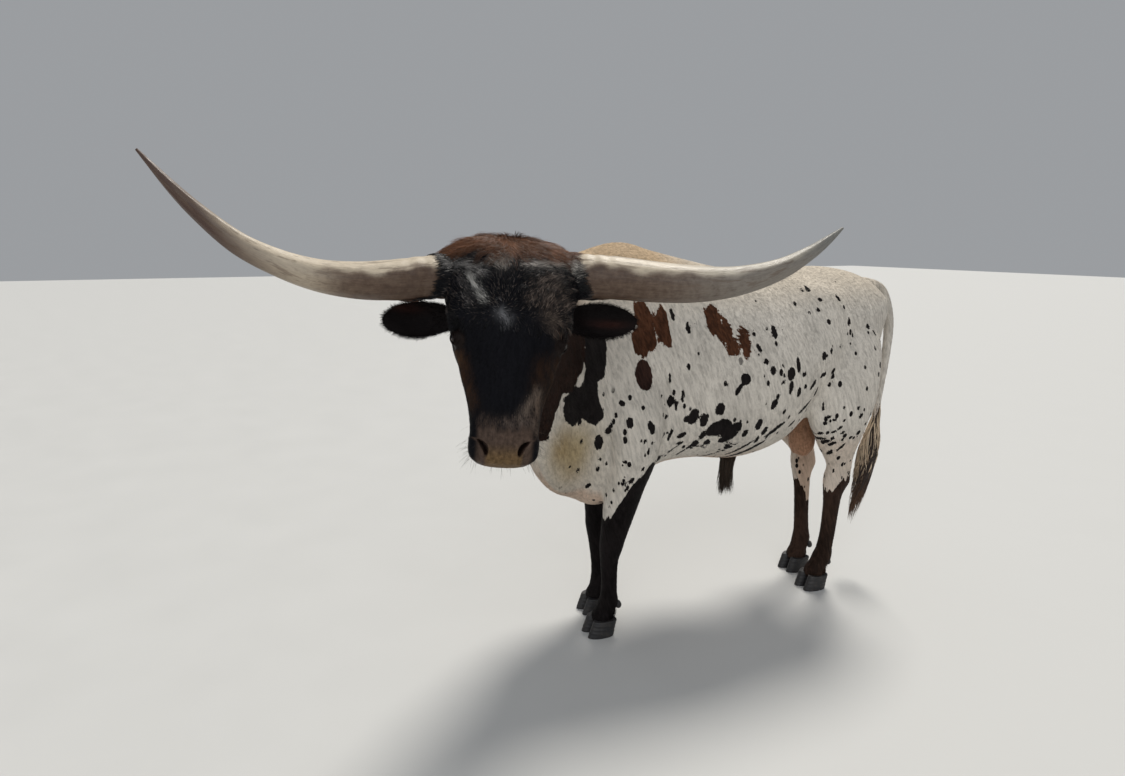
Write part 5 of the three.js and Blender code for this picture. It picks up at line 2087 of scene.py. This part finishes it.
def tail_hair(look, material):
    """The switch: locks that root down the last third of the tail, and short hair along the rest."""
    surface = skin_surface()
    dice = np.random.default_rng(101)
    height = to_body(surface.middle)[:, 2]
    tail = surface.among("tail")
    short_coat("coat_tail", "tail", tail & (height > TRUNK_COAT_LOW), look, material, "spotted_coat")
    plot = surface.plant((tail & (height < SWITCH_TOP)) / thinning(), 4.4, dice)
    start = to_body(plot["root"])
    count, steps = len(start), 7
    rows = np.array(SWITCH, float)[::-1]
    middle = [np.interp(start[:, 2], rows[:, 2], rows[:, k]) for k in (0, 1)]
    angle = np.arctan2(start[:, 1] - middle[1], start[:, 0] - middle[0])
    # Cream curtains before and behind, dark brown between them, ginger at the end
    cream = dice.random(count) < 0.92 - 0.85 * np.maximum(np.cos(angle + 0.41), 0) ** 1.5
    low = np.where(cream, dice.uniform(420, 590, count), dice.triangular(190, 230, 430, count))
    low = np.minimum(low, start[:, 2] - 60)
    s = np.linspace(0, 1, steps)[None]
    z = start[:, 2][:, None] * (1 - s) + low[:, None] * s
    x, y, room = (np.interp(z, rows[:, 2], rows[:, k]) for k in (0, 1, 3))
    swing = angle[:, None] + dice.normal(0, 0.35, (count, 1))
    swing = swing + 0.5 * np.sin(z / 60 + dice.normal(0, 1, (count, 1)))
    share = np.sqrt(np.where(cream, dice.uniform(0.5, 1, count), dice.uniform(0.1, 1, count)))
    root_out = np.hypot(start[:, 0] - x[:, 0], start[:, 1] - y[:, 0])[:, None]
    leaving = ease(s, 0, 0.35)
    out = root_out * (1 - leaving) + share[:, None] * 0.88 * room * leaving + root_out * 0.2
    spines = vectors(x + np.cos(swing) * out, y + np.sin(swing) * out, z)
    spines[:, 0] = start
    spines = clumped(from_body(spines), plot, 14, 0.45, dice)
    plot["ground"] = np.where(cream[:, None], look.cream[:], look.leg_brown[:])
    wide = dice.uniform(1.3, 2.6, count)
    grow("tail_switch_hair", spines, wide, plot, look, switch_material(), "switch_hair", taper=0.6)


SHEATH_TUFT_END = 410


def sheath_hair(look, material):
    """The tuft under the belly, drawn together to a point."""
    surface = skin_surface()
    dice = np.random.default_rng(111)
    here = surface.among("sheath") & (to_body(surface.middle)[:, 2] < SHEATH_TUFT_TOP)
    plot = surface.plant(here / thinning(), 3.6, dice)
    start = to_body(plot["root"])
    count = len(start)
    end = start.mean(0) * (1, 1, 0) + (0, -24, SHEATH_TUFT_END)
    way = unit(end - start) + dice.normal(0, 0.07, (count, 3))
    long = np.linalg.norm(end - start, axis=1) * dice.uniform(0.3, 0.87, count)
    spines = long_spines(plot, way, long, 0.04, 0.06, 2.6, 6, dice)
    spines = clumped(spines, plot, max(count // 5, 1), 0.45, dice)
    grow("sheath_tuft", spines, dice.uniform(0.9, 1.6, count), plot, look, material)


# Stage

CAMERA_AT = (2.2297, -1.22698, 1.48)
CAMERA_LOOK = (-0.917448, 0.397855)
CAMERA_PITCH = 11.165
LENS, SENSOR = 24.32, 36
SKY_STRENGTH = 0.38
FILL_SHARE = 0.33


def sun_light(name, comes_from, strength, softness, colour):
    bpy.ops.object.light_add(type="SUN", location=(0, 0, 4))
    lamp = bpy.context.object
    lamp.name = name
    lamp.data.energy, lamp.data.angle, lamp.data.color = strength, math.radians(softness), colour
    lamp.rotation_mode = "QUATERNION"
    lamp.rotation_quaternion = Vector(comes_from).to_track_quat("Z", "Y")
    return lamp


def make_stage(look):
    bpy.ops.mesh.primitive_plane_add(size=60, location=(0, 0, -0.0005))
    floor = bpy.context.object
    floor.name = "floor"
    graph = Graph("pale_floor")
    dust = graph.noise(graph.place(), 3.0, 3.0)
    colour = graph.mix(dust, (0.50, 0.50, 0.49), (0.54, 0.54, 0.53))
    floor.data.materials.append(graph.finish(Base_Color=colour, Roughness=graph.step(dust, 0, 1, 0.6, 0.8)))
    world = bpy.data.worlds.new("studio")
    world.use_nodes = True
    back = world.node_tree.nodes["Background"]
    back.inputs["Color"].default_value = (0.86, 0.89, 0.93, 1)
    back.inputs["Strength"].default_value = SKY_STRENGTH
    bpy.context.scene.world = world
    lamps = [
        sun_light("key", (-0.42, 0.46, 1.0), look.key_strength, 18, (1.0, 0.96, 0.89)),
        sun_light("fill", (1.0, -0.55, 0.75), look.key_strength * FILL_SHARE, 50, (0.94, 0.97, 1.0)),
    ]
    bpy.ops.object.camera_add(location=CAMERA_AT)
    camera = bpy.context.object
    pitch = math.radians(CAMERA_PITCH)
    ahead = Vector((*(part * math.cos(pitch) for part in CAMERA_LOOK), -math.sin(pitch)))
    camera.rotation_mode = "QUATERNION"
    camera.rotation_quaternion = ahead.to_track_quat("-Z", "Y")
    camera.data.lens, camera.data.sensor_width = LENS, SENSOR
    camera.data.clip_start, camera.data.clip_end = 0.05, 200
    bpy.context.scene.camera = camera
    bpy.context.scene.view_settings.view_transform = "Standard"
    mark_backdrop(floor, *lamps, camera)


def tone(name, description, default):
    return FloatVectorProperty(name=name, description=description, default=default, subtype="COLOR")


class BullLook(PropertyGroup):
    """Sizes and colours of the bull."""

    white: tone("White coat", "Ground of the body", (0.66, 0.61, 0.54))
    black: tone("Black coat", "Spots and forelegs", (0.009, 0.007, 0.007))
    dark_head: tone("Head", "Ground of the face", (0.0055, 0.0055, 0.0075))
    chestnut: tone("Chestnut", "Big spots high on the side", (0.066, 0.026, 0.013))
    # Painted shade: this dark brown is the chestnut of the spot low on the shoulder, darkened.
    brown: tone("Dark brown", "Spot on the shoulder", (0.026, 0.012, 0.009))
    neck_brown: tone("Throat", "Side of the throat", (0.017, 0.0075, 0.005))
    leg_brown: tone("Hind legs", "Below the hock", (0.030, 0.017, 0.012))
    poll: tone("Poll", "Mop between the horns", (0.185, 0.082, 0.043))
    # The hump's buff is partly the hair's own tint and partly painted warm sunlight on the top.
    hump: tone("Hump", "Top of the shoulders", (0.54, 0.36, 0.19))
    nose: tone("Nose", "Bare nose plate", (0.082, 0.055, 0.042))
    nose_tip: tone("Nose, low", "Lower edge of the plate", (0.150, 0.094, 0.046))
    pouch: tone("Bare skin", "Between the hind legs", (0.33, 0.185, 0.115))
    cream: tone("Cream", "Pale tail hair", (0.60, 0.47, 0.33))
    horn: tone("Horn", "Top of the horns", (0.56, 0.475, 0.36))
    hair_length: FloatProperty(
        name="Hair length", description="Share of the usual length", default=1.0, min=0.3, max=2.0
    )
    key_strength: FloatProperty(
        name="Key light", description="Strength of the main lamp", default=2.9, min=0.0
    )


class BULL_OT_skin(Operator):
    """One skin for all the flesh, with folds, lids, lips and markings"""

    bl_idname = "bull.skin"
    bl_label = "Skin"

    def execute(self, context):
        look = context.scene.bull
        skin, parts = rough_skin()
        part = parts.at(places(skin))
        sculpt_head(skin)
        sculpt_body(skin, parts, part)
        finish_skin(skin, part, parts.names, look)
        dress(skin, skin_material(look), "spotted_coat", *FLESH)
        Work.surface = Surface(skin, parts.names)
        return {"FINISHED"}


class BULL_OT_body_coat(Operator):
    """Short coat of the trunk, neck and legs"""

    bl_idname = "bull.body_coat"
    bl_label = "Coat of the body"

    def execute(self, context):
        look = context.scene.bull
        material = hair_material("spotted_coat", look, 0.62, 0.12)
        coat_on_trunk(look, material)
        coat_on_neck(look, material)
        coat_on_legs(look, hair_material("leg_coat", look, 0.5, 0.03))
        return {"FINISHED"}


class BULL_OT_head_coat(Operator):
    """Coat of the face and ears, shaggy forehead and poll, lashes and whiskers"""

    bl_idname = "bull.head_coat"
    bl_label = "Coat of the head"

    def execute(self, context):
        look = context.scene.bull
        material = hair_material("dark_coat", look, 0.45, 0.04)
        coat_on_head(look, material)
        shaggy = hair_material("shaggy_coat", look, 0.38, 0.2, 1.35)
        top = np.random.default_rng(71)
        forehead_hair(look, shaggy, top)
        poll_hair(look, shaggy, top)
        coat_on_horn_roots(look, shaggy)
        coat_on_ears(look, material)
        stiff = np.random.default_rng(91)
        whiskers(look, material, stiff)
        lashes(look, material, stiff)
        return {"FINISHED"}


class BULL_OT_long_hair(Operator):
    """Tail with its switch, and the tuft of the sheath"""

    bl_idname = "bull.long_hair"
    bl_label = "Tail and tufts"

    def execute(self, context):
        look = context.scene.bull
        material = hair_material("tail_coat", look, 0.55, 0.2)
        tail_hair(look, material)
        sheath_hair(look, material)
        return {"FINISHED"}


class BULL_OT_horns(Operator):
    """Both horns, with growth rings and streaks"""

    bl_idname = "bull.horns"
    bl_label = "Horns"

    def execute(self, context):
        look = context.scene.bull
        material = horn_material()
        for side, word in SIDES:
            dress(make_horn(side, word, look), material, "horn", f"horn_{word}")
        return {"FINISHED"}


class BULL_OT_eyes(Operator):
    """Both eyeballs"""

    bl_idname = "bull.eyes"
    bl_label = "Eyes"

    def execute(self, context):
        material = eye_material()
        for side, word in SIDES:
            dress(make_eye(side, word), material, "eye", f"eye_{word}")
        return {"FINISHED"}


class BULL_OT_hooves(Operator):
    """Eight claws and the dewclaws"""

    bl_idname = "bull.hooves"
    bl_label = "Hooves"

    def execute(self, context):
        material = hoof_material()
        for piece, nodes in make_hooves():
            dress(piece, material, "hoof", *nodes)
        return {"FINISHED"}


class BULL_OT_stage(Operator):
    """Floor, lamps and camera"""

    bl_idname = "bull.stage"
    bl_label = "Stage"

    def execute(self, context):
        make_stage(context.scene.bull)
        return {"FINISHED"}


STEPS = [
    BULL_OT_skin,
    BULL_OT_body_coat,
    BULL_OT_head_coat,
    BULL_OT_long_hair,
    BULL_OT_horns,
    BULL_OT_eyes,
    BULL_OT_hooves,
    BULL_OT_stage,
]


class BULL_PT_panel(Panel):
    """The steps in order, and the settings"""

    bl_label = "Longhorn bull"
    bl_space_type = "VIEW_3D"
    bl_region_type = "UI"
    bl_category = "Longhorn"

    def draw(self, context):
        for step in STEPS:
            self.layout.operator(step.bl_idname)
        for name in BullLook.__annotations__:
            self.layout.prop(context.scene.bull, name)


CLASSES = [BullLook, *STEPS, BULL_PT_panel]


def register():
    for kind in CLASSES:
        bpy.utils.register_class(kind)
    bpy.types.Scene.bull = PointerProperty(type=BullLook)


def unregister():
    del bpy.types.Scene.bull
    for kind in reversed(CLASSES):
        bpy.utils.unregister_class(kind)


def corners(box):
    return [list(corner) for corner in box]


def main():
    register()
    for step in STEPS:
        group, name = step.bl_idname.split(".")
        getattr(getattr(bpy.ops, group), name)()
    {"cad": corners(CAD_BOX), "visual": corners(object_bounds())}


if __name__ == "__main__":
    main()
